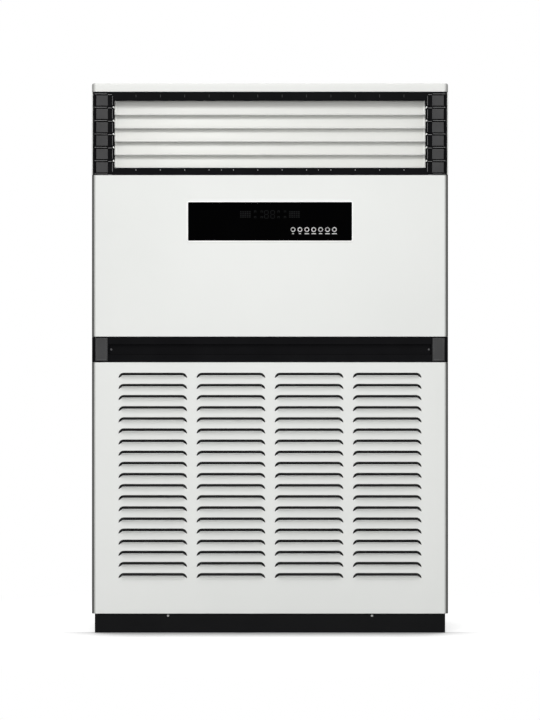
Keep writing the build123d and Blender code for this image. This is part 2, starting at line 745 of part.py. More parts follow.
# Link bar behind the vanes, with a slot for each pin and one for the motor's crank
swing_x = vane_places[-1] - vane_pitch / 2
vane_link_y = vane_axis_y + vane_crank
with BuildPart() as vane_link_bar:
    with BuildSketch(Plane.XY.offset(vane_link_z)):
        with Locations((0, vane_link_y)):
            Rectangle(vane_places[-1] - vane_places[0] + link_bar_width, link_bar_width)
        with Locations(*[(x, vane_link_y - link_slot / 2) for x in (*vane_places, swing_x)]):
            Rectangle(link_slot, link_bar_width, align=(Align.CENTER, Align.MIN), mode=Mode.SUBTRACT)
    extrude(amount=link_bar_thickness / 2, both=True)
vane_link_bar.part.label = "vane_link_bar"
export_step(vane_link_bar.part, "parts/vane_link_bar.step")

# Swing motor on the lower rail, and its crank, which moves the bar as the vanes' fingers do
swing_base = rail_base + vane_rail_height + seat_gap
swing_shaft_radius = vane_pin_radius
swing_bore_depth = 6.0
with BuildPart() as swing_motor:
    with BuildSketch(Plane.XY.offset(swing_base)):
        with Locations((swing_x, vane_axis_y)):
            RegularPolygon(swing_motor_radius, drum_sides)
            Rectangle(3 * swing_motor_radius, swing_motor_radius / 2)
    extrude(amount=swing_motor_height)
    with BuildSketch(Plane.XY.offset(swing_base + swing_motor_height)):
        with Locations((swing_x, vane_axis_y)):
            RegularPolygon(swing_shaft_radius + pin_gap, pin_sides * 2, major_radius=False)
    extrude(amount=-swing_bore_depth, mode=Mode.SUBTRACT)
swing_motor.part.label = "swing_motor"
export_step(swing_motor.part, "parts/swing_motor.step")

crank_arm_z = vane_link_z + link_bar_thickness / 2 + seat_gap
crank_shaft_z = swing_base + swing_motor_height - swing_bore_depth + seat_gap
with BuildPart() as swing_crank:
    with BuildSketch(Plane.XY.offset(crank_arm_z)):
        with Locations((swing_x, vane_axis_y)):
            RegularPolygon(3 * link_pin_radius, pin_sides)
            Rectangle(4 * link_pin_radius, vane_crank + 2 * link_pin_radius, align=(Align.CENTER, Align.MIN))
    extrude(amount=finger_height)
    with BuildSketch(Plane.XY.offset(crank_arm_z)):
        with Locations((swing_x, vane_axis_y + vane_crank)):
            RegularPolygon(link_pin_radius, pin_sides)
    extrude(amount=-crank_pin_length)
    with BuildSketch(Plane.XY.offset(crank_shaft_z)):
        with Locations((swing_x, vane_axis_y)):
            RegularPolygon(swing_shaft_radius, pin_sides)
    extrude(amount=crank_arm_z - crank_shaft_z)
swing_crank.part.label = "swing_crank"
export_step(swing_crank.part, "parts/swing_crank.step")

# Display lens, with a hole for each button
lens_back_y = face_y + sheet
lens_front_y = face_y - lens_proud
button_z = lens_z - lens_height / 2 + button_rise
button_places = [(button_first + i * button_pitch, button_z) for i in range(button_count)]
button_gap = 0.3
with BuildPart() as display_lens:
    with BuildSketch(Plane.XZ.offset(-lens_back_y)):
        with Locations((0, lens_z)):
            RectangleRounded(lens_width, lens_height, lens_corner)
        with Locations(*button_places):
            RegularPolygon(button_radius + button_gap, drum_sides, mode=Mode.SUBTRACT)
    extrude(amount=lens_back_y - lens_front_y)
display_lens.part.label = "display_lens"
export_step(display_lens.part, "parts/display_lens.step")

# Display housing behind the panel: an open tray with a switch post for each button
housing_front_y = lens_back_y + seat_gap
housing_back_y = housing_front_y + housing_depth
housing_width = lens_width + 2 * housing_rim
housing_height = lens_height + 2 * housing_rim
tail_clearance = 14.0  # behind a button's stem
button_tail_y = housing_back_y - moulding - tail_clearance
post_front_y = button_tail_y + button_travel + button_gap
with BuildPart() as display_housing:
    with BuildSketch(Plane.XZ.offset(-housing_back_y)):
        with Locations((0, lens_z)):
            Rectangle(housing_width, housing_height)
    extrude(amount=housing_depth)
    with BuildSketch(Plane.XZ.offset(-(housing_back_y - moulding))):
        with Locations((0, lens_z)):
            Rectangle(lens_width - 2 * housing_rim, lens_height - 2 * housing_rim)
    extrude(amount=housing_depth, mode=Mode.SUBTRACT)
    with BuildSketch(Plane.XZ.offset(-(housing_back_y - moulding))):
        with Locations(*button_places):
            Rectangle(button_radius, button_radius)
    extrude(amount=housing_back_y - moulding - post_front_y)
display_housing.part.label = "display_housing"
export_step(display_housing.part, "parts/display_housing.step")

# Buttons: a ring round a shallow well, on a stem
button_front_y = lens_front_y - button_proud
button_cap = 5.0
button_well = 0.8
for number, place in enumerate(button_places, start=1):
    with BuildPart() as button:
        with BuildSketch(Plane.XZ.offset(-button_front_y)):
            with Locations(place):
                RegularPolygon(button_radius, drum_sides)
        extrude(amount=-button_cap)
        with BuildSketch(Plane.XZ.offset(-button_front_y)):
            with Locations(place):
                RegularPolygon(button_well_radius, drum_sides)
        extrude(amount=-button_well, mode=Mode.SUBTRACT)
        with BuildSketch(Plane.XZ.offset(-(button_front_y + button_cap))):
            with Locations(place):
                Rectangle(2 * button_stem_radius, 2 * button_stem_radius)
        extrude(amount=-(button_tail_y - button_front_y - button_cap))
    button.part.label = f"button_{number}"
    export_step(button.part, f"parts/button_{number}.step")

# Fan deck: the floor of the outlet chamber, open above each scroll
outlet_front_y = fan_axis_y + scroll_radius * cos(radians(scroll_tongue))
outlet_rear_y = fan_axis_y + scroll_reach
outlet_y = span(outlet_front_y, outlet_rear_y)
outlet_depth = outlet_rear_y - outlet_front_y
outlet_width = scroll_width - 2 * scroll_wall
with BuildPart() as fan_deck:
    with BuildSketch(Plane.XY.offset(deck_base)):
        with Locations((0, span(deck_front_y, deck_rear_y))):
            Rectangle(2 * (inner_half - seat_gap), deck_rear_y - deck_front_y)
        with Locations((-fan_offset, outlet_y), (fan_offset, outlet_y)):
            Rectangle(outlet_width, outlet_depth - 2 * scroll_wall, mode=Mode.SUBTRACT)
    extrude(amount=sheet)
fan_deck.part.label = "fan_deck"
export_step(fan_deck.part, "parts/fan_deck.step")

# Foam liner of the outlet chamber, open below over the scrolls and in front to the mouth
liner_base = deck_top + seat_gap
liner_top = cover_base - seat_gap
liner_front_y = mouth_rear_y + seat_gap
liner_rear_y = deck_rear_y
liner_half = mouth_half + liner_wall
with BuildPart() as outlet_liner:
    with BuildSketch(Plane.XY.offset(liner_base)):
        with Locations((0, span(liner_front_y, liner_rear_y))):
            Rectangle(2 * liner_half, liner_rear_y - liner_front_y)
    extrude(amount=liner_top - liner_base)
    with BuildSketch(Plane.XY.offset(liner_base)):
        with Locations((0, liner_front_y)):
            Rectangle(mouth_width, liner_rear_y - liner_front_y - liner_wall, align=(Align.CENTER, Align.MIN))
    extrude(amount=liner_top - liner_base - liner_wall, mode=Mode.SUBTRACT)
outlet_liner.part.label = "outlet_liner"
export_step(outlet_liner.part, "parts/outlet_liner.step")

# Scroll housings, hung under the deck: a growing spiral with a straight outlet
scroll_top = deck_base - seat_gap


def scroll_outline(inset, top):
    """Side outline of a scroll, in Y and Z, drawn inside its skin by the inset."""
    turns = [scroll_tongue + scroll_sweep * i / scroll_steps for i in range(scroll_steps + 1)]
    spiral = []
    for turn in turns:
        reach = scroll_radius + scroll_growth * (turn - scroll_tongue) / 90 - inset
        spiral.append((fan_axis_y + reach * cos(radians(turn)), fan_height + reach * sin(radians(turn))))
    with BuildSketch() as outline:
        with BuildLine():
            Polyline((spiral[0][0] + inset, top), *spiral, (spiral[-1][0], top), close=True)
        make_face()
    return outline.sketch


for name, middle_x in (("scroll_left", -fan_offset), ("scroll_right", fan_offset)):
    with BuildPart() as scroll:
        with BuildSketch(Plane.YZ.offset(middle_x)):
            add(scroll_outline(0, scroll_top))
        extrude(amount=scroll_width / 2, both=True)
        with BuildSketch(Plane.XY.offset(scroll_top)):
            with Locations((middle_x, outlet_y)):
                Rectangle(scroll_width + 2 * scroll_flange, outlet_depth + scroll_flange)
        extrude(amount=-scroll_wall)
        with BuildSketch(Plane.YZ.offset(middle_x)):
            add(scroll_outline(scroll_wall, scroll_top + scroll_wall))
        extrude(amount=scroll_width / 2 - scroll_wall, both=True, mode=Mode.SUBTRACT)
        with BuildSketch(Plane.YZ.offset(middle_x)):
            with Locations((fan_axis_y, fan_height)):
                RegularPolygon(scroll_inlet_radius, drum_sides)
        extrude(amount=scroll_width, both=True, mode=Mode.SUBTRACT)
    scroll.part.label = name
    export_step(scroll.part, f"parts/{name}.step")

# Blower wheels: forward-leaning blades between two rings and a middle disc with a hub
ring_radius = wheel_radius - wheel_ring
blade_root = ring_radius + 1.5
blade_tip = wheel_radius - 4.0
wheel_blade_wall = 1.6
blade_sweep = 9.0
with BuildSketch() as wheel_blade:
    with BuildLine():
        Polyline(
            (blade_root, 0),
            (blade_tip, blade_sweep),
            (blade_tip, blade_sweep + wheel_blade_wall),
            (blade_root, wheel_blade_wall),
            close=True,
        )
    make_face()

for name, middle_x in (("blower_wheel_left", -fan_offset), ("blower_wheel_right", fan_offset)):
    wheel_end = Plane.YZ.offset(middle_x - wheel_width / 2)
    with BuildPart() as wheel:
        with BuildSketch(wheel_end):
            with Locations((fan_axis_y, fan_height)):
                with PolarLocations(0, wheel_blades):
                    add(wheel_blade.sketch)
        extrude(amount=wheel_width)
        with BuildSketch(wheel_end, wheel_end.offset(wheel_width - wheel_disc)):
            with Locations((fan_axis_y, fan_height)):
                RegularPolygon(wheel_radius, drum_sides)
                RegularPolygon(ring_radius, drum_sides, mode=Mode.SUBTRACT)
        extrude(amount=wheel_disc)
        with BuildSketch(Plane.YZ.offset(middle_x)):
            with Locations((fan_axis_y, fan_height)):
                RegularPolygon(wheel_radius, drum_sides)
        extrude(amount=wheel_disc / 2, both=True)
        with BuildSketch(Plane.YZ.offset(middle_x)):
            with Locations((fan_axis_y, fan_height)):
                RegularPolygon(wheel_hub_radius, pin_sides)
        extrude(amount=wheel_hub_length / 2, both=True)
        with BuildSketch(Plane.YZ.offset(middle_x)):
            with Locations((fan_axis_y, fan_height)):
                RegularPolygon(shaft_radius + pin_gap, drum_sides, major_radius=False)
        extrude(amount=wheel_hub_length, both=True, mode=Mode.SUBTRACT)
    wheel.part.label = name
    export_step(wheel.part, f"parts/{name}.step")

# Fan shaft through the motor and both hubs
with BuildPart() as fan_shaft:
    with BuildSketch(Plane.YZ):
        with Locations((fan_axis_y, fan_height)):
            Circle(shaft_radius)
    extrude(amount=fan_offset + wheel_hub_length / 2, both=True)
fan_shaft.part.label = "fan_shaft"
export_step(fan_shaft.part, "parts/fan_shaft.step")

# Fan motor: a drum with end bells, on two feet
bell_radius = 0.7 * motor_radius
bell_length = 16.0
foot_width = 24.0
foot_base = fan_height - motor_radius - motor_foot_height
with BuildPart() as fan_motor:
    with BuildSketch(Plane.YZ):
        with Locations((fan_axis_y, fan_height)):
            RegularPolygon(motor_radius, drum_sides)
    extrude(amount=motor_length / 2 - bell_length, both=True)
    with BuildSketch(Plane.YZ):
        with Locations((fan_axis_y, fan_height)):
            RegularPolygon(bell_radius, drum_sides)
    extrude(amount=motor_length / 2, both=True)
    with BuildSketch(Plane.XY.offset(foot_base)):
        with Locations((-motor_length / 4, fan_axis_y), (motor_length / 4, fan_axis_y)):
            Rectangle(foot_width, 1.5 * motor_radius)
    extrude(amount=motor_radius / 2)
    with BuildSketch(Plane.YZ):
        with Locations((fan_axis_y, fan_height)):
            RegularPolygon(shaft_radius + pin_gap, drum_sides, major_radius=False)
    extrude(amount=motor_length, both=True, mode=Mode.SUBTRACT)
fan_motor.part.label = "fan_motor"
export_step(fan_motor.part, "parts/fan_motor.step")

# Fan platform: a folded shelf between the side panels, with an air window below each scroll
platform_rail = 30.0
platform_fold = 30.0
platform_front_y = side_front_y + sheet + platform_front_gap
platform_rear_y = fan_axis_y + platform_tail
platform_y = span(platform_front_y, platform_rear_y)
platform_depth = platform_rear_y - platform_front_y
window_width = inner_half - motor_length - 2 * platform_rail
window_x = motor_length + platform_rail + window_width / 2
platform_top = platform_height + platform_fold
with BuildPart() as fan_platform:
    with BuildSketch(Plane.XY.offset(platform_height)):
        with Locations((0, platform_y)):
            Rectangle(2 * (inner_half - seat_gap), platform_depth)
    extrude(amount=platform_fold)
    with BuildSketch(Plane.XY.offset(platform_height)):
        with Locations((0, platform_y)):
            Rectangle(2 * (inner_half - seat_gap - sheet), platform_depth - 2 * sheet)
    extrude(amount=platform_fold - sheet, mode=Mode.SUBTRACT)
    with BuildSketch(Plane.XY.offset(platform_height)):
        with Locations((-window_x, platform_y), (window_x, platform_y)):
            Rectangle(window_width, platform_depth - 2 * platform_rail)
    extrude(amount=platform_fold, mode=Mode.SUBTRACT)
fan_platform.part.label = "fan_platform"
export_step(fan_platform.part, "parts/fan_platform.step")

# Motor bracket: an arch from the platform to the motor's feet
bracket_wall = 3.0
bracket_base = platform_top + seat_gap
bracket_top = foot_base - seat_gap
with BuildPart() as motor_bracket:
    with BuildSketch(Plane.XY.offset(bracket_base)):
        with Locations((0, fan_axis_y)):
            Rectangle(motor_length, 1.5 * motor_radius)
    extrude(amount=bracket_top - bracket_base)
    with BuildSketch(Plane.XY.offset(bracket_base)):
        with Locations((0, fan_axis_y)):
            Rectangle(motor_length - 2 * bracket_wall, 2 * motor_radius)
    extrude(amount=bracket_top - bracket_base - bracket_wall, mode=Mode.SUBTRACT)
motor_bracket.part.label = "motor_bracket"
export_step(motor_bracket.part, "parts/motor_bracket.step")

# Control box on the platform's front part, and its lid
box_side_gap = 28.0  # to the scroll beside it
box_rear_gap = 5.5  # to the motor behind it
box_width = 2 * (fan_offset - scroll_width / 2 - box_side_gap)
box_depth = 56.0
box_height = 190.0
lid_depth = 12.0
box_front_y = fan_axis_y - motor_radius - box_rear_gap - box_depth
with BuildPart() as control_box:
    with BuildSketch(Plane.XY.offset(bracket_base)):
        with Locations((0, box_front_y)):
            Rectangle(box_width, box_depth, align=(Align.CENTER, Align.MIN))
    extrude(amount=box_height)
    with BuildSketch(Plane.XZ.offset(-box_front_y)):
        with Locations((0, bracket_base + box_height / 2)):
            Rectangle(box_width - 2 * sheet, box_height - 2 * sheet)
    extrude(amount=-(box_depth - sheet), mode=Mode.SUBTRACT)
control_box.part.label = "control_box"
export_step(control_box.part, "parts/control_box.step")

with BuildPart() as control_cover:
    with BuildSketch(Plane.XZ.offset(-(box_front_y - seat_gap))):
        with Locations((0, bracket_base + box_height / 2)):
            Rectangle(box_width, box_height)
    extrude(amount=lid_depth - seat_gap)
    with BuildSketch(Plane.XZ.offset(-(box_front_y - seat_gap))):
        with Locations((0, bracket_base + box_height / 2)):
            Rectangle(box_width - 2 * sheet, box_height - 2 * sheet)
    extrude(amount=lid_depth - seat_gap - sheet, mode=Mode.SUBTRACT)
control_cover.part.label = "control_cover"
export_step(control_cover.part, "parts/control_cover.step")

# Cooling coil: a leaning fin pack between two end plates
lean_sin = sin(radians(coil_lean))
lean_cos = cos(radians(coil_lean))
coil_width = unit_width - 2 * coil_side
coil_reach = platform_height - coil_head_room - coil_rise
coil_length = (coil_reach - coil_thickness * lean_sin) / lean_cos
coil_z = coil_rise + coil_reach / 2
coil_plane = Plane(origin=(0, coil_y, coil_z), x_dir=(1, 0, 0), z_dir=(0, lean_sin, lean_cos))
coil_base = coil_plane.offset(-coil_length / 2)
with BuildPart() as evaporator_fins:
    with BuildSketch(coil_base):
        Rectangle(coil_width, coil_thickness)
    extrude(amount=coil_length)
evaporator_fins.part.label = "evaporator_fins"
export_step(evaporator_fins.part, "parts/evaporator_fins.step")

plate_wall = 2.0
plate_x = coil_width / 2 + seat_gap
plate_reach = inner_half - seat_gap - plate_x
with BuildPart() as evaporator_end_plates:
    with BuildSketch(coil_base):
        with Locations((plate_x, 0)):
            Rectangle(plate_wall, coil_thickness, align=(Align.MIN, Align.CENTER))
        with Locations((plate_x, -coil_thickness / 2)):
            Rectangle(plate_reach, plate_wall, align=(Align.MIN, Align.MIN))
    extrude(amount=coil_length)
    mirror(about=Plane.YZ)
evaporator_end_plates.part.label = "evaporator_end_plates"
export_step(evaporator_end_plates.part, "parts/evaporator_end_plates.step")

# Headers and pipes on the right-hand end: gas to the rear, liquid to the front of the coil
header_standoff = 20.0
header_x = plate_x + plate_wall + header_standoff
header_radius = 12.0
feeder_radius = 5.0
gas_offset = 12.0
liquid_offset = -16.0
pipe_end_y = rear_y - sheet - emboss_depth - pipe_setback
stub_start_y = pipe_end_y - pipe_stub
gas_header_start = 110.0
gas_header_length = 420.0
liquid_header_start = 55.0
liquid_header_length = 300.0
feeder_count = 2


def header_point(offset, along):
    """A point on a header, at an offset across the coil and a length along it."""
    return coil_base.offset(along).from_local_coords((header_x, offset, 0))


def feeder_planes(offset, start, length):
    """Planes of the short feeders between a header and the end plate."""
    places = [start + length * (i + 1) / (feeder_count + 1) for i in range(feeder_count)]
    points = [header_point(offset, along) for along in places]
    return [Plane(origin=point, x_dir=(0, 1, 0), z_dir=(-1, 0, 0)) for point in points]


feeder_length = header_x - plate_x - plate_wall - seat_gap
gas_start = header_point(gas_offset, gas_header_start + header_radius)
liquid_start = header_point(liquid_offset, liquid_header_start + header_radius)
with BuildPart() as gas_pipe:
    with BuildSketch(coil_base.offset(gas_header_start)):
        with Locations((header_x, gas_offset)):
            RegularPolygon(header_radius, pin_sides)
    extrude(amount=gas_header_length)
    with BuildSketch(*feeder_planes(gas_offset, gas_header_start, gas_header_length)):
        RegularPolygon(feeder_radius, pin_sides)
    extrude(amount=feeder_length)
    with BuildSketch(Plane(origin=gas_start, x_dir=(1, 0, 0), z_dir=(0, 1, 0))):
        RegularPolygon(gas_pipe_radius + pipe_lagging, drum_sides)
    extrude(amount=stub_start_y - gas_start.Y)
    with BuildSketch(Plane(origin=(gas_start.X, stub_start_y, gas_start.Z), z_dir=(0, 1, 0))):
        Circle(gas_pipe_radius)
    extrude(amount=pipe_stub)
gas_pipe.part.label = "gas_pipe"
export_step(gas_pipe.part, "parts/gas_pipe.step")

with BuildPart() as liquid_pipe:
    with BuildSketch(coil_base.offset(liquid_header_start)):
        with Locations((header_x, liquid_offset)):
            RegularPolygon(header_radius / 2, pin_sides)
    extrude(amount=liquid_header_length)
    with BuildSketch(*feeder_planes(liquid_offset, liquid_header_start, liquid_header_length)):
        RegularPolygon(feeder_radius / 2, pin_sides)
    extrude(amount=feeder_length)
    with BuildSketch(Plane(origin=liquid_start, x_dir=(1, 0, 0), z_dir=(0, 1, 0))):
        RegularPolygon(liquid_pipe_radius + pipe_lagging, drum_sides)
    extrude(amount=stub_start_y - liquid_start.Y)
    with BuildSketch(Plane(origin=(liquid_start.X, stub_start_y, liquid_start.Z), z_dir=(0, 1, 0))):
        Circle(liquid_pipe_radius)
    extrude(amount=pipe_stub)
liquid_pipe.part.label = "liquid_pipe"
export_step(liquid_pipe.part, "parts/liquid_pipe.step")

# Drain pan under the coil, standing on the base frame, with a spigot to the rear
pan_wall = 2.5
pan_top = coil_rise - seat_gap
pan_base = pan_top - pan_depth
pan_y = coil_y - coil_length * lean_sin / 2
pan_half = base_half - base_flange / 2
pan_leg = pan_base - base_top - seat_gap
drain_x = service_x
drain_z = pan_base + drain_pipe_radius + 2 * pan_wall
pan_rear_y = pan_y + pan_width / 2
pan_foot = 40.0
pan_legs = [(side * (pan_half - pan_foot / 2), pan_y) for side in (-1, 1)]
with BuildPart() as drain_pan:
    with BuildSketch(Plane.XY.offset(pan_base)):
        with Locations((0, pan_y)):
            Rectangle(2 * pan_half, pan_width)
    extrude(amount=pan_depth)
    with BuildSketch(Plane.XY.offset(pan_base + pan_wall)):
        with Locations((0, pan_y)):
            Rectangle(2 * (pan_half - pan_wall), pan_width - 2 * pan_wall)
    extrude(amount=pan_depth, mode=Mode.SUBTRACT)
    with BuildSketch(Plane.XY.offset(pan_base)):
        with Locations(*pan_legs):
            Rectangle(pan_foot, pan_width)
    extrude(amount=-pan_leg)
    with BuildSketch(Plane.XZ.offset(-(pan_rear_y - pan_wall / 2))):
        with Locations((drain_x, drain_z)):
            RegularPolygon(drain_pipe_radius + pan_wall, drum_sides)
    extrude(amount=-(stub_start_y - pan_rear_y + pan_wall / 2))
    with BuildSketch(Plane.XZ.offset(-stub_start_y)):
        with Locations((drain_x, drain_z)):
            Circle(drain_pipe_radius)
    extrude(amount=-pipe_stub)
    with BuildSketch(Plane.XZ.offset(-(pan_rear_y - pan_wall))):
        with Locations((drain_x, drain_z)):
            RegularPolygon(drain_pipe_radius - pan_wall, drum_sides)
    extrude(amount=-(pipe_end_y - pan_rear_y + 2 * pan_wall), mode=Mode.SUBTRACT)
drain_pan.part.label = "drain_pan"
export_step(drain_pan.part, "parts/drain_pan.step")

# Air filters behind the intake panel: two framed screens, held by the panel's folded edges
filter_thickness = 6.0
filter_frame = 14.0
filter_base = intake_base + sheet + seat_gap
filter_height = intake_edge - sheet - seat_gap - filter_base
filter_front_y = face_y + sheet + 2.0
filter_width = inner_half - fold - 2 * seat_gap
filter_bars = 4
cell_height = (filter_height - filter_frame * (filter_bars + 1)) / filter_bars
with BuildPart() as air_filters:
    with BuildSketch(Plane.XZ.offset(-filter_front_y)):
        with Locations((-filter_width / 2 - seat_gap, 0), (filter_width / 2 + seat_gap, 0)):
            with Locations((0, filter_base)):
                Rectangle(filter_width, filter_height, align=(Align.CENTER, Align.MIN))
    extrude(amount=-filter_thickness)
    with BuildSketch(Plane.XZ.offset(-filter_front_y)):
        with Locations((-filter_width / 2 - seat_gap, 0), (filter_width / 2 + seat_gap, 0)):
            for bar in range(filter_bars):
                with Locations((0, filter_base + filter_frame + bar * (cell_height + filter_frame))):
                    Rectangle(filter_width - 2 * filter_frame, cell_height, align=(Align.CENTER, Align.MIN))
    extrude(amount=-filter_thickness / 2, mode=Mode.SUBTRACT)
air_filters.part.label = "air_filters"
export_step(air_filters.part, "parts/air_filters.step")

# Seen screws: two in the plinth, two in the trim's groove
screw_radius = 4.0
screw_head = 1.6
plinth_screw_x = half_width - plinth_screw_inset
plinth_screw_z = base_top - plinth_screw_drop
trim_screw_x = half_width - trim_screw_inset
with BuildPart() as cabinet_screws:
    with BuildSketch(Plane.XZ.offset(-base_front_y)):
        with Locations((-plinth_screw_x, plinth_screw_z), (plinth_screw_x, plinth_screw_z)):
            RegularPolygon(screw_radius, pin_sides)
    extrude(amount=screw_head)
    with BuildSketch(Plane.XZ.offset(-(face_y + groove_depth))):
        with Locations((-trim_screw_x, trim_z), (trim_screw_x, trim_z)):
            RegularPolygon(screw_radius, pin_sides)
    extrude(amount=screw_head)
cabinet_screws.part.label = "cabinet_screws"
export_step(cabinet_screws.part, "parts/cabinet_screws.step")
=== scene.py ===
import bmesh
import bpy
import json
import math
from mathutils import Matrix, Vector


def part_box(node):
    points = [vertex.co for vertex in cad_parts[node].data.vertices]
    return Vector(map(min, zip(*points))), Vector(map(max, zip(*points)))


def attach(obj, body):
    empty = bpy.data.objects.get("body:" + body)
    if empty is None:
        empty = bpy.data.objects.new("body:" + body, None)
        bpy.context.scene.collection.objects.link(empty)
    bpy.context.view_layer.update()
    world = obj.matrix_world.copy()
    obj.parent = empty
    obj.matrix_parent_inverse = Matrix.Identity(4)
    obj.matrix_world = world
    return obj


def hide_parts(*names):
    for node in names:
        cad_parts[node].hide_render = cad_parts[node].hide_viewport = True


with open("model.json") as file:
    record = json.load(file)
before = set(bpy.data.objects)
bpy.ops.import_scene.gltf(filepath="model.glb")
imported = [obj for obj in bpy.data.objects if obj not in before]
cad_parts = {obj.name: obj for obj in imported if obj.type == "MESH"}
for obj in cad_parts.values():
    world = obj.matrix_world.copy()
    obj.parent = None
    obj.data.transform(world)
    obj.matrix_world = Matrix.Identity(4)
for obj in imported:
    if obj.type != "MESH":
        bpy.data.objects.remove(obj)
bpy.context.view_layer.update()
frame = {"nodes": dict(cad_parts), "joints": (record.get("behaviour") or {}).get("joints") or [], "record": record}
print("frame loaded:", len(frame["nodes"]), "nodes")


# small tools for modelling by hand

squareOn = 0.99  # a face whose normal is this close to an axis looks along it
touching = 0.00005  # places this close count as one
merging = 0.00002  # points this close are merged


def deselectAll():
    for item in list(bpy.context.selected_objects):
        item.select_set(False)
    bpy.context.view_layer.objects.active = None


def keepOnly(piece):
    deselectAll()
    piece.select_set(True)
    bpy.context.view_layer.objects.active = piece


def settle(piece):
    # the place goes into the mesh, so the object ends at the origin
    keepOnly(piece)
    bpy.ops.object.transform_apply(location=True, rotation=True, scale=True)


def applyAll(piece):
    keepOnly(piece)
    for step in list(piece.modifiers):
        bpy.ops.object.modifier_apply(modifier=step.name)


def smooth(piece, degrees=35):
    keepOnly(piece)
    bpy.ops.object.shade_smooth_by_angle(angle=math.radians(degrees))


def openEdit(piece, kind="VERT"):
    keepOnly(piece)
    bpy.ops.object.mode_set(mode="EDIT")
    bpy.ops.mesh.select_mode(type=kind)
    bpy.ops.mesh.select_all(action="DESELECT")


def closeEdit():
    bpy.ops.object.mode_set(mode="OBJECT")


def near(value, goal, slack=touching):
    return abs(value - goal) < slack


def pickAll():
    bpy.ops.mesh.select_all(action="SELECT")


def pick(piece, kind, chosen):
    # selects the vertices, edges or faces that are chosen, and nothing else
    bpy.ops.mesh.select_mode(type=kind)
    bpy.ops.mesh.select_all(action="DESELECT")
    mesh = bmesh.from_edit_mesh(piece.data)
    for item in {"VERT": mesh.verts, "EDGE": mesh.edges, "FACE": mesh.faces}[kind]:
        item.select_set(chosen(item))
    bmesh.update_edit_mesh(piece.data)


def pickEdges(piece, test):
    # selects the edges whose two points pass the test
    pick(piece, "EDGE", lambda edge: all(test(point.co) for point in edge.verts))


def pickAlong(piece, axis, test=lambda point: True):
    # selects the edges along one axis whose two points pass the test
    def straight(edge):
        first, last = (point.co for point in edge.verts)
        level = all(near(first[i], last[i]) for i in range(3) if "XYZ"[i] != axis)
        return level and test(first) and test(last)

    pick(piece, "EDGE", straight)


def extrudeBy(x, y, z):
    bpy.ops.mesh.extrude_region_move(TRANSFORM_OT_translate={"value": (x, y, z)})


def bevelEdges(offset, steps):
    bpy.ops.mesh.bevel(offset=offset, segments=steps, affect="EDGES")


def addBlock(name, low, high, bevel=0.0, steps=2):
    # a block between two corners, its edges rounded
    deselectAll()
    middle = (Vector(low) + Vector(high)) / 2
    bpy.ops.mesh.primitive_cube_add(size=1, location=middle)
    piece = bpy.context.object
    piece.name = name
    piece.scale = Vector(high) - Vector(low)
    settle(piece)
    if bevel:
        openEdit(piece, "EDGE")
        pickAll()
        bevelEdges(bevel, steps)
        closeEdit()
    return piece


def addBar(name, x, z, width, height, front, back, bevel=0.0, steps=1):
    # a block by its middle and size as seen from the front
    low = (x - width / 2, front, z - height / 2)
    high = (x + width / 2, back, z + height / 2)
    return addBlock(name, low, high, bevel, steps)


def addDisc(name, centre, radius, depth, sides=32, axis="Y", bevel=0.0, steps=2):
    # a short round bar along an axis, its ends rounded
    deselectAll()
    turn = {"X": (0, math.pi / 2, 0), "Y": (math.pi / 2, 0, 0)}[axis]
    bpy.ops.mesh.primitive_cylinder_add(
        vertices=sides, radius=radius, depth=depth, location=centre, rotation=turn)
    piece = bpy.context.object
    piece.name = name
    settle(piece)
    if bevel:
        openEdit(piece)
        pick(piece, "FACE", lambda face: len(face.verts) > 4)
        bpy.ops.mesh.region_to_loop()
        bevelEdges(bevel, steps)
        closeEdit()
    return piece


def joinAll(name, pieces):
    deselectAll()
    for piece in pieces:
        piece.select_set(True)
    bpy.context.view_layer.objects.active = pieces[0]
    bpy.ops.object.join()
    joined = bpy.context.object
    joined.name = name
    joined.data.name = name
    return joined


def copyPiece(piece, name, place):
    twin = piece.copy()
    twin.data = piece.data.copy()
    twin.name = name
    twin.data.name = name
    bpy.context.collection.objects.link(twin)
    twin.location = Vector(place)
    settle(twin)
    return twin


def faceForward(piece):
    # a single skin: all normals the same way round, then towards -Y
    openEdit(piece)
    pickAll()
    bpy.ops.mesh.remove_doubles(threshold=merging)
    bpy.ops.mesh.normals_make_consistent(inside=False)
    mesh = bmesh.from_edit_mesh(piece.data)
    widest = max(mesh.faces, key=lambda face: face.calc_area())
    if widest.normal.y > 0:
        bpy.ops.mesh.flip_normals()
    closeEdit()


def faceOutward(piece):
    openEdit(piece)
    pickAll()
    bpy.ops.mesh.normals_make_consistent(inside=False)
    closeEdit()


def addWall(piece, thickness, offset=-1):
    wall = piece.modifiers.new("wall", "SOLIDIFY")
    wall.thickness = thickness
    wall.offset = offset
    wall.use_even_offset = True


def addRounding(piece, width):
    rounding = piece.modifiers.new("round", "BEVEL")
    rounding.width = width
    rounding.segments = 2
    rounding.limit_method = "ANGLE"


def addCut(piece, cutter):
    cut = piece.modifiers.new("cut", "BOOLEAN")
    cut.object = cutter
    cut.operation = "DIFFERENCE"
    cut.solver = "EXACT"


# small tools for shaders

def feed(link, socket, value):
    # a link from another socket, or a fixed value
    if isinstance(value, bpy.types.NodeSocket):
        link(value, socket)
    else:
        socket.default_value = value


def mathOf(nodes, link, operation, first, second=None, clamp=False):
    node = nodes.new("ShaderNodeMath")
    node.operation = operation
    node.use_clamp = clamp
    feed(link, node.inputs[0], first)
    if second is not None:
        feed(link, node.inputs[1], second)
    return node.outputs["Value"]


def mixColour(nodes, link, mask, first, second):
    mix = nodes.new("ShaderNodeMix")
    mix.data_type = "RGBA"
    link(mask, mix.inputs["Factor"])
    for label, value in (("A", first), ("B", second)):
        feed(link, mix.inputs[label], (*value, 1.0) if isinstance(value, tuple) else value)
    return mix.outputs["Result"]


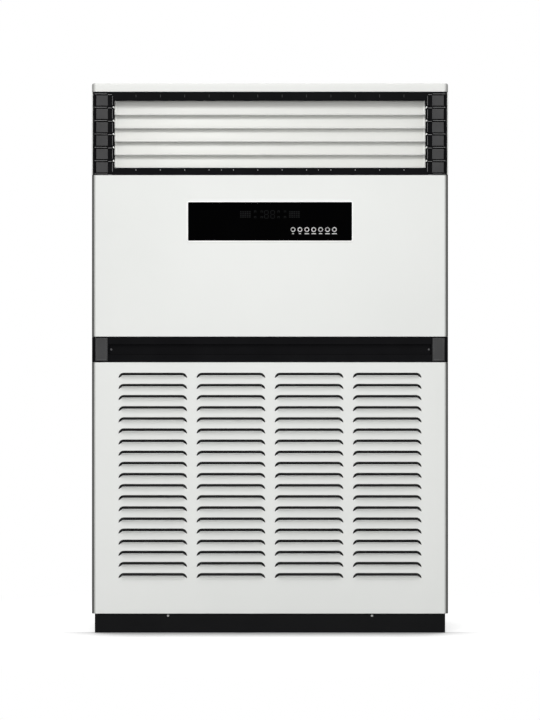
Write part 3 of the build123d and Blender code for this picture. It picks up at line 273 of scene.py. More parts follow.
def spread(nodes, link, value, low, high, newLow=0.0, newHigh=1.0, kind="LINEAR"):
    ramp = nodes.new("ShaderNodeMapRange")
    ramp.interpolation_type = kind
    ramp.inputs["From Min"].default_value = low
    ramp.inputs["From Max"].default_value = high
    ramp.inputs["To Min"].default_value = newLow
    ramp.inputs["To Max"].default_value = newHigh
    link(value, ramp.inputs["Value"])
    return ramp.outputs["Result"]


def placeOn(nodes, kind="Object"):
    return nodes.new("ShaderNodeTexCoord").outputs[kind]


def splitUp(nodes, link, vector):
    split = nodes.new("ShaderNodeSeparateXYZ")
    link(vector, split.inputs["Vector"])
    return split.outputs


def addBump(nodes, link, shader, height, distance, strength=1.0, under=None):
    bump = nodes.new("ShaderNodeBump")
    bump.inputs["Strength"].default_value = strength
    bump.inputs["Distance"].default_value = distance
    link(height, bump.inputs["Height"])
    if under:
        link(under, bump.inputs["Normal"])
    link(bump.outputs["Normal"], shader.inputs["Normal"])


def mixShaders(nodes, link, mask, first, second, end):
    mix = nodes.new("ShaderNodeMixShader")
    for socket, source in zip(mix.inputs, (mask, first, second)):
        link(source, socket)
    link(mix.outputs["Shader"], end.inputs["Surface"])


# node groups that several finishes share

def newGroup(name, inputs, outputs):
    group = bpy.data.node_groups.new(name, "ShaderNodeTree")
    for label in inputs:
        group.interface.new_socket(name=label, in_out="INPUT", socket_type="NodeSocketFloat")
    for label, kind in outputs:
        group.interface.new_socket(name=label, in_out="OUTPUT", socket_type=kind)
    start = group.nodes.new("NodeGroupInput")
    end = group.nodes.new("NodeGroupOutput")
    return group, start.outputs, end.inputs


def grainGroup():
    # fine surface grain as a height, and a slow cloud that shades the colour
    group, given, made = newGroup(
        "surfaceGrain", ("Scale", "Cloud Scale"),
        (("Height", "NodeSocketFloat"), ("Cloud", "NodeSocketFloat")),
    )
    link = group.links.new
    place = placeOn(group.nodes)
    for scale, detail, result in (("Scale", 3.0, "Height"), ("Cloud Scale", 4.0, "Cloud")):
        noise = group.nodes.new("ShaderNodeTexNoise")
        noise.inputs["Detail"].default_value = detail
        link(place, noise.inputs["Vector"])
        link(given[scale], noise.inputs["Scale"])
        link(noise.outputs["Fac"], made[result])
    return group


def edgeGroup():
    # softened edges: a rounded normal, and a mask that is 1 on the edges, where the finishes paint their edge
    # colour, mostly a painted highlight
    group, given, made = newGroup(
        "softEdge", ("Radius", "Gain"), (("Normal", "NodeSocketVector"), ("Edge", "NodeSocketFloat")))
    link = group.links.new
    rounded = group.nodes.new("ShaderNodeBevel")
    rounded.samples = 4
    sharp = group.nodes.new("ShaderNodeNewGeometry")
    dot = group.nodes.new("ShaderNodeVectorMath")
    dot.operation = "DOT_PRODUCT"
    link(given["Radius"], rounded.inputs["Radius"])
    link(rounded.outputs["Normal"], dot.inputs[0])
    link(sharp.outputs["Normal"], dot.inputs[1])
    away = mathOf(group.nodes, link, "SUBTRACT", 1.0, dot.outputs["Value"])
    link(mathOf(group.nodes, link, "MULTIPLY", away, given["Gain"], clamp=True), made["Edge"])
    link(rounded.outputs["Normal"], made["Normal"])
    return group


surfaceGrain = grainGroup()
softEdge = edgeGroup()


def addGroup(nodes, group, **values):
    node = nodes.new("ShaderNodeGroup")
    node.node_tree = group
    for label, value in values.items():
        node.inputs[label.replace("_", " ")].default_value = value
    return node.outputs


def newFinish(name, roughness, metallic=0.0, specular=0.5):
    finish = bpy.data.materials.new(name)
    finish.use_nodes = True
    nodes, link = finish.node_tree.nodes, finish.node_tree.links.new
    shader = nodes["Principled BSDF"]
    shader.inputs["Roughness"].default_value = roughness
    shader.inputs["Metallic"].default_value = metallic
    shader.inputs["Specular IOR Level"].default_value = specular
    return finish, nodes, link, shader


def grey(level):
    return (level, level, level)


cornerShadeSpan = {"from": 0.5860, "full": 0.5945, "back": -0.19}


def paintedCornerShade(nodes, link):
    # 1 on the round front corners, by their place on the cabinet; the finishes paint shade there, for the corners
    # turning away from the light
    place = splitUp(nodes, link, placeOn(nodes))
    across = mathOf(nodes, link, "ABSOLUTE", place["X"])
    turned = spread(nodes, link, across, cornerShadeSpan["from"], cornerShadeSpan["full"])
    inFront = mathOf(nodes, link, "LESS_THAN", place["Y"], cornerShadeSpan["back"])
    return mathOf(nodes, link, "MULTIPLY", turned, inFront)


# paint and mouldings: a clouded colour, a rough grain, and an edge colour: mostly lighter, a painted highlight,
# and darker on the black frame

coatedDefaults = {
    "metallic": 0.0, "specular": 0.5, "bumpDepth": 0.0001, "edgeRadius": 0.0008, "edgeGain": 1.5,
    "rounded": True, "cloudFrom": 0.35, "cloudTo": 0.65, "glossFrom": 0.3, "glossTo": 0.7,
    "glossier": 0.05, "duller": 0.06,
}
coatedLooks = {
    "casingWhite": {
        # edge: a painted highlight along the edges
        "colour": (0.80, 0.81, 0.79), "shade": (0.765, 0.777, 0.757), "edge": (0.96, 0.96, 0.95),
        # corner: painted shade on the round front corners
        "corner": (0.085, 0.085, 0.08), "roughness": 0.5, "specular": 0.05, "grain": 1400.0, "cloud": 1.1,
        "bump": 0.12, "bumpDepth": 0.00008, "edgeRadius": 0.0026, "edgeGain": 3.4,
    },
    # the casing white made darker: painted shade against the stronger light the cover takes from above; its corner
    # value is a lighter painted corner shade
    "coverWhitePaintedShade": {
        "colour": (0.75, 0.755, 0.735), "shade": (0.73, 0.735, 0.715), "edge": (0.86, 0.86, 0.85),
        "corner": (0.36, 0.36, 0.35), "roughness": 0.5, "specular": 0.05, "grain": 1400.0, "cloud": 1.5,
        "bump": 0.12, "bumpDepth": 0.00008,
    },
    # grey copy of the casing white: painted shade on the side panels' front edges, which turn away from the light
    "stripPaintedShade": {
        "colour": (0.6, 0.605, 0.59), "shade": (0.56, 0.565, 0.55), "edge": (0.66, 0.66, 0.65),
        "roughness": 0.5, "specular": 0.05, "grain": 1400.0, "cloud": 4.0, "bump": 0.1, "rounded": False,
    },
    # the lens rim's white, and the painted highlight on the blades' rolled lips
    "rimWhiteAndLipHighlight": {
        "colour": (0.95, 0.95, 0.94), "shade": (0.92, 0.92, 0.91), "edge": grey(0.97),
        "roughness": 0.3, "grain": 1400.0, "cloud": 6.0, "bump": 0.05, "rounded": False,
    },
    "plinthBlack": {
        "colour": (0.004, 0.0041, 0.0046), "shade": (0.006, 0.0062, 0.0066), "edge": (0.03, 0.03, 0.032),
        "roughness": 0.55, "specular": 0.06, "grain": 1100.0, "cloud": 6.0, "bump": 0.25,
    },
    "frameBlack": {
        "colour": (0.004, 0.004, 0.0046), "shade": (0.006, 0.006, 0.0067), "edge": (0.0004, 0.0004, 0.0005),
        "roughness": 0.55, "specular": 0.02, "grain": 1500.0, "cloud": 9.0, "bump": 0.2,
        "edgeRadius": 0.0028, "edgeGain": 3.4,
    },
    "tileGrey": {
        "colour": (0.045, 0.045, 0.046), "shade": (0.056, 0.056, 0.057), "edge": grey(0.13),
        "roughness": 0.55, "specular": 0.12, "grain": 1200.0, "cloud": 14.0, "bump": 0.3,
        "edgeRadius": 0.002, "edgeGain": 4.0,
    },
    # grey where the black frame's ribs catch the light: a painted highlight
    "ribPaintedHighlight": {
        "colour": grey(0.2), "shade": grey(0.26), "edge": grey(0.4),
        "roughness": 0.45, "specular": 0.3, "grain": 1200.0, "cloud": 18.0, "bump": 0.2, "edgeRadius": 0.0003,
    },
    "bladeWhite": {
        "colour": (0.715, 0.72, 0.69), "shade": (0.69, 0.695, 0.665), "edge": (0.95, 0.95, 0.94),
        "roughness": 0.38, "specular": 0.35, "grain": 1300.0, "cloud": 2.2, "bump": 0.08, "rounded": False,
        "edgeRadius": 0.002, "edgeGain": 2.5,
    },
    "studWhite": {
        "colour": (0.42, 0.42, 0.41), "shade": (0.36, 0.36, 0.35), "edge": (0.5, 0.5, 0.49),
        "roughness": 0.4, "grain": 1500.0, "cloud": 30.0, "bump": 0.1, "rounded": False,
    },
    "linerFoam": {
        "colour": (0.018, 0.018, 0.019), "shade": (0.03, 0.03, 0.031), "edge": grey(0.04),
        "roughness": 0.9, "specular": 0.15, "grain": 500.0, "cloud": 20.0, "bump": 0.8,
        "bumpDepth": 0.0006, "rounded": False,
    },
    "wheelBlack": {
        "colour": (0.02, 0.02, 0.021), "shade": (0.028, 0.028, 0.03), "edge": grey(0.06),
        "roughness": 0.5, "grain": 900.0, "cloud": 12.0, "bump": 0.25,
    },
    "motorPaint": {
        "colour": (0.04, 0.045, 0.05), "shade": (0.05, 0.055, 0.06), "edge": (0.1, 0.1, 0.11),
        "roughness": 0.4, "grain": 1000.0, "cloud": 10.0, "bump": 0.25,
    },
    "grommetRubber": {
        "colour": grey(0.012), "shade": grey(0.02), "edge": grey(0.035),
        "roughness": 0.8, "specular": 0.25, "grain": 800.0, "cloud": 25.0, "bump": 0.35,
    },
    "pipeCopper": {
        "colour": (0.62, 0.28, 0.16), "shade": (0.48, 0.2, 0.11), "edge": (0.78, 0.42, 0.28),
        "roughness": 0.32, "metallic": 1.0, "grain": 700.0, "cloud": 24.0, "bump": 0.1,
    },
    "housingGrey": {
        "colour": (0.035, 0.035, 0.036), "shade": (0.045, 0.045, 0.046), "edge": grey(0.08),
        "roughness": 0.6, "grain": 900.0, "cloud": 12.0, "bump": 0.3,
    },
    "screwBlack": {
        "colour": (0.02, 0.02, 0.021), "shade": (0.035, 0.035, 0.036), "edge": grey(0.16),
        "roughness": 0.35, "metallic": 0.6, "grain": 1500.0, "cloud": 80.0, "bump": 0.1,
        "edgeRadius": 0.0003,
    },
}


def coatedFinish(name, chosen):
    look = {**coatedDefaults, **chosen}
    finish, nodes, link, shader = newFinish(name, look["roughness"], look["metallic"], look["specular"])
    grain = addGroup(nodes, surfaceGrain, Scale=look["grain"], Cloud_Scale=look["cloud"])
    edge = addGroup(nodes, softEdge, Radius=look["edgeRadius"], Gain=look["edgeGain"])
    cloud = spread(nodes, link, grain["Cloud"], look["cloudFrom"], look["cloudTo"])
    body = mixColour(nodes, link, cloud, look["colour"], look["shade"])
    whole = mixColour(nodes, link, edge["Edge"], body, look["edge"])
    # painted shade on the round front corners, darkest at the outer edge
    if "corner" in look:
        whole = mixColour(nodes, link, paintedCornerShade(nodes, link), whole, look["corner"])
    link(whole, shader.inputs["Base Color"])
    gloss = spread(nodes, link, grain["Cloud"], look["glossFrom"], look["glossTo"],
                   look["roughness"] - look["glossier"], look["roughness"] + look["duller"])
    link(gloss, shader.inputs["Roughness"])
    under = edge["Normal"] if look["rounded"] else None
    addBump(nodes, link, shader, grain["Height"], look["bumpDepth"], look["bump"], under)
    return finish


# zinc and bright steel: flat crystals that differ a little in shade and gloss

metalLooks = {
    "zincSheet": {"colour": (0.46, 0.47, 0.48), "shade": (0.56, 0.57, 0.58), "roughness": 0.42},
    "shaftSteel": {"colour": grey(0.5), "shade": grey(0.55), "roughness": 0.28},
}
spangle = {
    "metallic": 0.9, "scale": 70.0, "edge": (0.8, 0.81, 0.82), "edgeRadius": 0.0006, "edgeGain": 1.2,
    "glossier": 0.08, "duller": 0.1,
}


def metalFinish(name, look):
    finish, nodes, link, shader = newFinish(name, look["roughness"], spangle["metallic"])
    crystal = nodes.new("ShaderNodeTexVoronoi")
    crystal.inputs["Scale"].default_value = spangle["scale"]
    link(placeOn(nodes), crystal.inputs["Vector"])
    tone = nodes.new("ShaderNodeSeparateColor")
    link(crystal.outputs["Color"], tone.inputs["Color"])
    edge = addGroup(nodes, softEdge, Radius=spangle["edgeRadius"], Gain=spangle["edgeGain"])
    body = mixColour(nodes, link, tone.outputs["Red"], look["colour"], look["shade"])
    # the edges take a lighter colour: a painted highlight
    link(mixColour(nodes, link, edge["Edge"], body, spangle["edge"]), shader.inputs["Base Color"])
    gloss = spread(nodes, link, tone.outputs["Green"], 0.0, 1.0,
                   look["roughness"] - spangle["glossier"], look["roughness"] + spangle["duller"])
    link(gloss, shader.inputs["Roughness"])
    link(edge["Normal"], shader.inputs["Normal"])
    return finish


# fins seen edge on, light edges with painted shade in the gaps between them, and the filters' woven screen, near
# black: bands across one way or both ways

bandedLooks = {
    "coilFins": {
        # dark bands: painted shade in the gaps between the fins
        "across": ("X",), "scale": 160.0, "dark": grey(0.12), "light": (0.7, 0.71, 0.72),
        "depth": 0.0015, "roughness": 0.4, "metallic": 0.9,
    },
    "filterMesh": {
        # the mesh's own dark colour, darkened to near black as painted shade behind the louvre slots
        "across": ("X", "Z"), "scale": 190.0, "dark": (0.0008, 0.0008, 0.001),
        "light": (0.004, 0.0042, 0.0045), "depth": 0.0005, "roughness": 0.7,
    },
}


def bandedFinish(name, look):
    finish, nodes, link, shader = newFinish(name, look["roughness"], look.get("metallic", 0.0))
    place = placeOn(nodes)
    bands = []
    for direction in look["across"]:
        wave = nodes.new("ShaderNodeTexWave")
        wave.bands_direction = direction
        wave.inputs["Scale"].default_value = look["scale"]
        link(place, wave.inputs["Vector"])
        bands.append(wave.outputs["Fac"])
    raised = mathOf(nodes, link, "MAXIMUM", bands[0], bands[-1])
    link(mixColour(nodes, link, raised, look["dark"], look["light"]), shader.inputs["Base Color"])
    addBump(nodes, link, shader, raised, look["depth"])
    return finish


# glass, plating and print: a colour and a gloss that aren't quite even

evenLooks = {
    "lensBlack": {
        "colour": (0.0003, 0.0003, 0.0004), "shade": (0.0007, 0.0007, 0.0008), "roughness": 0.08,
        "specular": 0.001, "grain": 1500.0, "cloud": 5.0, "cloudFrom": 0.45, "cloudTo": 0.75,
        "gloss": ("Cloud", 0.4, 0.8, 0.06, 0.16),
    },
    "ringSilver": {
        "colour": (0.84, 0.85, 0.86), "shade": (0.94, 0.95, 0.96), "roughness": 0.3, "metallic": 0.85,
        "grain": 2500.0, "cloud": 90.0, "gloss": ("Height", 0.3, 0.7, 0.26, 0.4),
    },
    "markWhite": {
        "colour": (0.75, 0.76, 0.77), "shade": (0.6, 0.61, 0.62), "roughness": 0.5, "specular": 0.2,
        "grain": 1800.0, "cloud": 60.0,
    },
    "markDim": {
        "colour": (0.012, 0.0125, 0.013), "shade": (0.005, 0.0052, 0.0055), "roughness": 0.5,
        "specular": 0.02, "grain": 1800.0, "cloud": 60.0,
    },
}


def evenFinish(name, look):
    finish, nodes, link, shader = newFinish(
        name, look["roughness"], look.get("metallic", 0.0), look.get("specular", 0.5))
    grain = addGroup(nodes, surfaceGrain, Scale=look["grain"], Cloud_Scale=look["cloud"])
    cloud = spread(nodes, link, grain["Cloud"], look.get("cloudFrom", 0.0), look.get("cloudTo", 1.0))
    link(mixColour(nodes, link, cloud, look["colour"], look["shade"]), shader.inputs["Base Color"])
    if "gloss" in look:
        source, *limits = look["gloss"]
        link(spread(nodes, link, grain[source], *limits), shader.inputs["Roughness"])
    return finish


finishes = {}
kinds = ((coatedFinish, coatedLooks), (metalFinish, metalLooks), (bandedFinish, bandedLooks),
         (evenFinish, evenLooks))
for maker, looks in kinds:
    finishes.update({name: maker(name, look) for name, look in looks.items()})
print("finishes made:", len(finishes))


# the carried-over nodes get their finish by material slot

finishOfSlot = {
    "casing_white": "casingWhite", "plinth_black": "plinthBlack", "galvanised": "zincSheet",
    "black_plastic": "frameBlack", "grey_plastic": "tileGrey", "white_plastic": "bladeWhite",
    "lens_black": "lensBlack", "button_silver": "ringSilver", "housing_plastic": "housingGrey",
    "liner_foam": "linerFoam", "filter_mesh": "filterMesh", "grommet_rubber": "grommetRubber",
    "wheel_plastic": "wheelBlack", "shaft_steel": "shaftSteel", "motor_paint": "motorPaint",
    "coil_aluminium": "coilFins", "pipe_copper": "pipeCopper", "screw_black": "screwBlack",
}
for part in frame["record"]["subparts"]:
    node = frame["nodes"][part["node"]]
    finish = finishes[finishOfSlot[part["material_slot"]]]
    if not node.material_slots:
        node.data.materials.append(finish)
    for place in node.material_slots:
        place.material = finish
print("nodes finished")


def finishOn(piece, finishName, body="cabinet"):
    piece.data.materials.clear()
    piece.data.materials.append(finishes[finishName])
    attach(piece, body)


# the folded front sheets

panelLow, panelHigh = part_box("upper_front_panel")
faceY = panelLow.y
sheet = {"wall": 0.0015, "corner": 0.012, "cornerSteps": 7, "fold": 0.016, "seam": 0.001}
halfWidth = panelHigh.x
halfFlat = halfWidth - sheet["corner"]


def addOutline(piece, low, high, corners=0.0, steps=6, which=lambda point: True):
    # a rectangle in the front plane of the piece being edited, with the chosen corners rounded
    middle = ((low[0] + high[0]) / 2, faceY, (low[1] + high[1]) / 2)
    bpy.ops.mesh.select_mode(type="VERT")
    bpy.ops.mesh.select_all(action="DESELECT")
    bpy.ops.mesh.primitive_plane_add(size=1, location=middle, rotation=(math.pi / 2, 0, 0))
    bpy.ops.transform.resize(value=(high[0] - low[0], 1, high[1] - low[1]), center_override=middle)
    if corners:
        mesh = bmesh.from_edit_mesh(piece.data)
        for point in mesh.verts:
            point.select_set(point.select and which(point.co))
        bmesh.update_edit_mesh(piece.data)
        bpy.ops.mesh.bevel(offset=corners, segments=steps, affect="VERTICES")


def startSheet(name):
    # a piece with nothing in it yet, open for editing
    deselectAll()
    bpy.ops.mesh.primitive_plane_add()
    piece = bpy.context.object
    piece.name = name
    openEdit(piece)
    pickAll()
    bpy.ops.mesh.delete(type="VERT")
    return piece


def fillBetween():
    # keeps only the edges, and fills the plate between the outer and the inner outlines
    bpy.ops.mesh.select_mode(type="FACE")
    pickAll()
    bpy.ops.mesh.delete(type="ONLY_FACE")
    bpy.ops.mesh.select_mode(type="EDGE")
    pickAll()
    bpy.ops.mesh.fill(use_beauty=True)


def wrapSides(piece):
    # rounds each front corner, then draws the side and the fold behind it
    for side in (1, -1):
        pickEdges(piece, lambda point: near(point.x, side * halfFlat))
        centre = (side * halfFlat, faceY + sheet["corner"], 0)
        quarter = -side * math.pi / 2
        bpy.ops.mesh.spin(steps=sheet["cornerSteps"], angle=quarter, center=centre, axis=(0, 0, 1))
        extrudeBy(0, panelHigh.y - faceY - sheet["corner"], 0)
        extrudeBy(-side * sheet["fold"], 0, 0)


def foldBack(piece, level):
    # the upper or lower edge of the flat front, folded towards the rear
    pickEdges(piece, lambda point: near(point.z, level) and near(point.y, faceY))
    extrudeBy(0, sheet["fold"], 0)


def thicken(piece):
    faceForward(piece)
    addWall(piece, sheet["wall"])
    applyAll(piece)


# intake panel with its pressed louvres

louvre = {
    "columns": 4, "rows": 19, "width": 0.231, "height": 0.018, "columnPitch": 0.263, "rowPitch": 0.03745,
    "topMargin": 0.0355, "arch": 0.995, "archSteps": 6, "lipRise": 0.0078, "lipReach": 0.0098,
    "lipTaper": 0.0125, "lipSteps": 6, "footHeight": 0.0002,
}


def drawLip(piece, x, hinge, half):
    # the cut's lower edge, drawn forward and up in steps, and narrowed as the cut is
    pickEdges(piece, lambda point: near(point.z, hinge, louvre["footHeight"]))
    before = (0.0, 0.0, half)
    for step in range(1, louvre["lipSteps"] + 1):
        turn = math.pi / 2 * step / louvre["lipSteps"]
        reach = louvre["lipReach"] * (1 - math.cos(turn))
        rise = louvre["lipRise"] * math.sin(turn)
        width = half - louvre["lipTaper"] * math.sin(turn)
        extrudeBy(0, before[0] - reach, rise - before[1])
        middle = (x, faceY - reach, hinge + rise)
        bpy.ops.transform.resize(value=(width / before[2], 1, 1), center_override=middle)
        before = (reach, rise, width)


def repeat(piece, count, step):
    row = piece.modifiers.new("row", "ARRAY")
    row.use_relative_offset = False
    row.use_constant_offset = True
    row.count = count
    row.constant_offset_displace = step
    row.use_merge_vertices = True
    row.merge_threshold = touching


def makeIntakePanel():
    # one louvre in its cell is repeated, and the flat border is drawn out from the cells
    low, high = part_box("lower_front_panel")
    half = louvre["width"] / 2
    firstX = -(louvre["columns"] - 1) / 2 * louvre["columnPitch"]
    topHinge = high.z + sheet["seam"] / 2 - louvre["topMargin"] - louvre["height"]
    lastHinge = topHinge - (louvre["rows"] - 1) * louvre["rowPitch"]
    archTop = lastHinge + louvre["height"]
    spare = (louvre["rowPitch"] - louvre["height"]) / 2
    reachX = louvre["columnPitch"] / 2
    piece = startSheet("intakePanel")
    addOutline(piece, (firstX - reachX, lastHinge - spare), (firstX + reachX, archTop + spare))
    addOutline(piece, (firstX - half, lastHinge), (firstX + half, archTop), louvre["height"] * louvre["arch"],
               louvre["archSteps"], lambda point: near(point.z, archTop))
    fillBetween()
    drawLip(piece, firstX, lastHinge, half)
    closeEdit()
    repeat(piece, louvre["columns"], (louvre["columnPitch"], 0, 0))
    repeat(piece, louvre["rows"], (0, 0, louvre["rowPitch"]))
    applyAll(piece)
    openEdit(piece)
    outer = louvre["columns"] / 2 * louvre["columnPitch"]
    for side in (1, -1):
        pickEdges(piece, lambda point: near(point.x, side * outer) and near(point.y, faceY))
        extrudeBy(side * (halfFlat - outer), 0, 0)
    wrapSides(piece)
    for edge, level in ((topHinge + louvre["height"] + spare, high.z), (lastHinge - spare, low.z)):
        pickEdges(piece, lambda point: near(point.z, edge))
        extrudeBy(0, 0, level - edge)
        foldBack(piece, level)
    closeEdit()
    thicken(piece)
    smooth(piece, degrees=40)
    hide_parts("lower_front_panel")
    finishOn(piece, "casingWhite")


makeIntakePanel()
print("intake panel made")


# upper panel with the display opening

displayOpening = {"corner": 0.0033, "steps": 5, "slack": 0.0003}
lensLow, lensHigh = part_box("display_lens")


def makeUpperPanel():
    slack = displayOpening["slack"]
    piece = startSheet("upperPanel")
    addOutline(piece, (-halfFlat, panelLow.z), (halfFlat, panelHigh.z))
    addOutline(piece, (lensLow.x - slack, lensLow.z - slack), (lensHigh.x + slack, lensHigh.z + slack),
               displayOpening["corner"], displayOpening["steps"])
    fillBetween()
    wrapSides(piece)
    for level in (panelLow.z, panelHigh.z):
        foldBack(piece, level)
    closeEdit()
    thicken(piece)
    smooth(piece, degrees=40)
    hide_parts("upper_front_panel")
    finishOn(piece, "casingWhite")


makeUpperPanel()
print("upper panel made")


# top cover: a tray turned upside down, its front corners as round as the panels'

cover = {"edge": 0.006, "edgeSteps": 3}


def makeTopCover():
    low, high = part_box("top_cover")
    piece = addBlock("topCover", low, high)
    openEdit(piece)
    pickAlong(piece, "Z", lambda point: near(point.y, low.y))
    bevelEdges(sheet["corner"], sheet["cornerSteps"])
    pickEdges(piece, lambda point: near(point.z, high.z))
    bevelEdges(cover["edge"], cover["edgeSteps"])
    pick(piece, "FACE", lambda face: face.normal.z < -squareOn)
    bpy.ops.mesh.delete(type="FACE")
    closeEdit()
    faceOutward(piece)
    addWall(piece, sheet["wall"])
    applyAll(piece)
    smooth(piece, degrees=30)
    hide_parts("top_cover")
    finishOn(piece, "coverWhitePaintedShade")


makeTopCover()
print("top cover made")


# horizontal blades, each with a rolled lip, two cheeks, two pivots and a crank

mouthHalf = 0.525  # half the outlet's width
blade = {
    "chord": 0.055, "wall": 0.0026, "camber": 0.0035, "tilt": 22.0, "endGap": 0.0012, "steps": 10,
    "round": 0.0009, "cheek": 0.0052, "cheekFront": 0.006, "cheekBack": 0.0024, "cheekRound": 0.0007,
    "pin": 0.003, "pinReach": 0.0133, "pinRound": 0.0004, "pinSides": 16,
}
lip = {
    "reach": 0.005, "rise": 0.0042, "wall": 0.0022, "turn": 125.0, "steps": 5, "lift": 0.0006,
    "round": 0.0007, "down": -0.5,
}
crank = {
    "along": 0.031, "back": 0.010, "wall": 0.003, "sideGap": 0.0003, "front": -0.0015, "seat": 0.0005,
    "foot": 0.012, "shoulder": 0.002, "behindPin": 0.0027, "tip": 0.45, "round": 0.0004,
    "pin": 0.002, "pinLength": 0.0056, "pinRoot": 0.0002, "pinRound": 0.0003, "pinSides": 12,
}
bladeHalf = mouthHalf - blade["endGap"]
halfChord = blade["chord"] / 2


def startEdge(back=0.0, up=0.0):
    # a bare edge along the blade's foot, open for editing, for a sheet to be drawn from
    seed = 0.002
    deselectAll()
    bpy.ops.mesh.primitive_plane_add(size=1, location=(0, 0, -halfChord))
    piece = bpy.context.object
    piece.scale = (2 * bladeHalf, seed, 1)
    settle(piece)
    openEdit(piece)
    pick(piece, "VERT", lambda point: point.co.y > 0)
    bpy.ops.mesh.delete(type="VERT")
    pickAll()
    bpy.ops.transform.translate(value=(0, seed / 2 + back, up))
    return piece


def makeWing():
    radius = (halfChord ** 2 + blade["camber"] ** 2) / (2 * blade["camber"])
    sweep = 2 * math.asin(halfChord / radius)
    wing = startEdge()
    centre = (0, radius - blade["camber"], 0)
    bpy.ops.mesh.spin(steps=blade["steps"], angle=sweep, center=centre, axis=(1, 0, 0))
    closeEdit()
    faceForward(wing)
    addWall(wing, blade["wall"])
    addRounding(wing, blade["round"])
    applyAll(wing)
    return wing


def makeBladeLip():
    # the lower edge rolls forward and up, and catches the light
    roll = startEdge(blade["wall"] / 2, lip["lift"])
    whole = math.radians(lip["turn"])
    before = (0.0, 0.0)
    for step in range(1, lip["steps"] + 1):
        turn = whole * step / lip["steps"]
        reach = lip["reach"] * math.sin(turn)
        rise = lip["rise"] * (1 - math.cos(turn)) / (1 - math.cos(whole))
        extrudeBy(0, before[0] - reach, rise - before[1])
        before = (reach, rise)
    closeEdit()
    addWall(roll, lip["wall"], 0)
    addRounding(roll, lip["round"])
    applyAll(roll)
    faceOutward(roll)
    return roll


def makeCrank():
    # a short arm from the blade's back to the link bar, with its pin
    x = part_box("blade_link_bar")[1].x + crank["sideGap"]
    top = halfChord - crank["shoulder"]
    arm = addBlock("arm", (x, crank["front"], crank["foot"]), (x + crank["wall"], crank["seat"], top))
    openEdit(arm)
    pick(arm, "FACE", lambda face: face.normal.y > squareOn)
    tip = (x, crank["back"] + crank["behindPin"], crank["along"])
    extrudeBy(0, tip[1] - crank["seat"], tip[2] - (crank["foot"] + top) / 2)
    bpy.ops.transform.resize(value=(1, 1, crank["tip"]), center_override=tip)
    pickAll()
    bevelEdges(crank["round"], steps=1)
    closeEdit()
    seat = (x + crank["pinRoot"] - crank["pinLength"] / 2, crank["back"], crank["along"])
    pin = addDisc("pin", seat, crank["pin"], crank["pinLength"],
                  crank["pinSides"], "X", crank["pinRound"], steps=1)
    return joinAll("crank", [arm, pin])


def makeBladeShape():
    # drawn upright about its pivot at the origin, then tilted as it rests
    pieces = [makeWing(), makeBladeLip(), makeCrank()]
    reach = halfChord - blade["wall"]
    for side in (1, -1):
        left, right = sorted((side * bladeHalf, side * (bladeHalf - blade["cheek"])))
        low, high = (left, -blade["cheekFront"], -reach), (right, blade["cheekBack"], reach)
        pieces.append(addBlock("cheek", low, high, blade["cheekRound"]))
        middle = (side * (bladeHalf + blade["pinReach"] / 2), 0, 0)
        pieces.append(addDisc("pin", middle, blade["pin"], blade["pinReach"],
                              blade["pinSides"], "X", blade["pinRound"], steps=1))
    shape = joinAll("bladeShape", pieces)
    shape.rotation_euler = (-math.radians(blade["tilt"]), 0, 0)
    settle(shape)
    smooth(shape, degrees=32)
    return shape


def makeBlades():
    shape = makeBladeShape()
    for joint in frame["joints"]:
        if not joint["name"].startswith("blade_tilt_"):
            continue
        number = joint["name"].split("_")[-1]
        piece = copyPiece(shape, "bladeWing" + number, joint["pos_m"])
        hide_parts("louvre_blade_" + number)
        finishOn(piece, "bladeWhite", "blade_" + number)
        # the rolled lip's faces that look up or forward take a brighter white, a painted highlight where the lip
        # catches the light; faces that look down keep the blade's white
        piece.data.materials.append(finishes["rimWhiteAndLipHighlight"])
        lipTop = min(point.co.z for point in piece.data.vertices) + lip["rise"]
        for face in piece.data.polygons:
            bright = face.center.z < lipTop and face.normal.z > lip["down"]
            face.material_index = 1 if bright else 0
    bpy.data.objects.remove(shape)


makeBlades()
print("blades made")


# ribs of the side columns, studs and clips of the outlet frame, strips beside it

column = {
    "pitch": 0.045, "count": 7, "ribWall": 0.0013, "proud": 0.0004, "sunk": 0.0036, "round": 0.0003,
    "outer": (0.548, 0.5905), "inner": (0.5325, 0.5455), "innerDrop": 0.0022,
    "lineX": 0.5302, "lineWall": 0.0011, "lineGap": 0.007,
}
stud = {
    "count": 12, "solidWidth": 0.0046, "radius": 0.0016, "reach": 0.0014, "round": 0.0009, "sides": 24,
    "faintX": 0.163, "faint": 0.0013, "faintDepth": 0.0006, "faintProud": 0.0002, "faintRound": 0.0002,
    "faintSides": 16,
}
clip = {"z": 1.8065, "width": 0.0016, "height": 0.009, "reach": 0.0012, "sunk": 0.001, "round": 0.0004}
edgeStrip = {
    "inset": 0.0001, "width": 0.0036, "front": 0.002, "back": 0.0125, "endGap": 0.0005, "round": 0.0008,
}


def makeColumnRibs():
    # the ribs and lines are grey on the black frame: a painted highlight where light catches them
    low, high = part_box("side_tiles")
    front, back = faceY - column["proud"], faceY + column["sunk"]
    half = column["ribWall"] / 2
    lineHeight = column["pitch"] - 2 * column["lineGap"]
    ribs = []
    for side in (1, -1):
        for row in range(column["count"]):
            z = (low.z + high.z) / 2 + (row - (column["count"] - 1) / 2) * column["pitch"]
            for ends, drop in ((column["outer"], 0.0), (column["inner"], column["innerDrop"])):
                left, right = sorted(side * end for end in ends)
                corners = (left, front, z - drop - half), (right, back, z - drop + half)
                ribs.append(addBlock("rib", *corners, column["round"], steps=1))
            if row:
                ribs.append(addBar("line", side * column["lineX"], z - column["pitch"] / 2,
                                   column["lineWall"], lineHeight, front, back, column["round"]))
    piece = joinAll("columnRibs", ribs)
    smooth(piece)
    finishOn(piece, "ribPaintedHighlight")


studLow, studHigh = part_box("frame_studs")


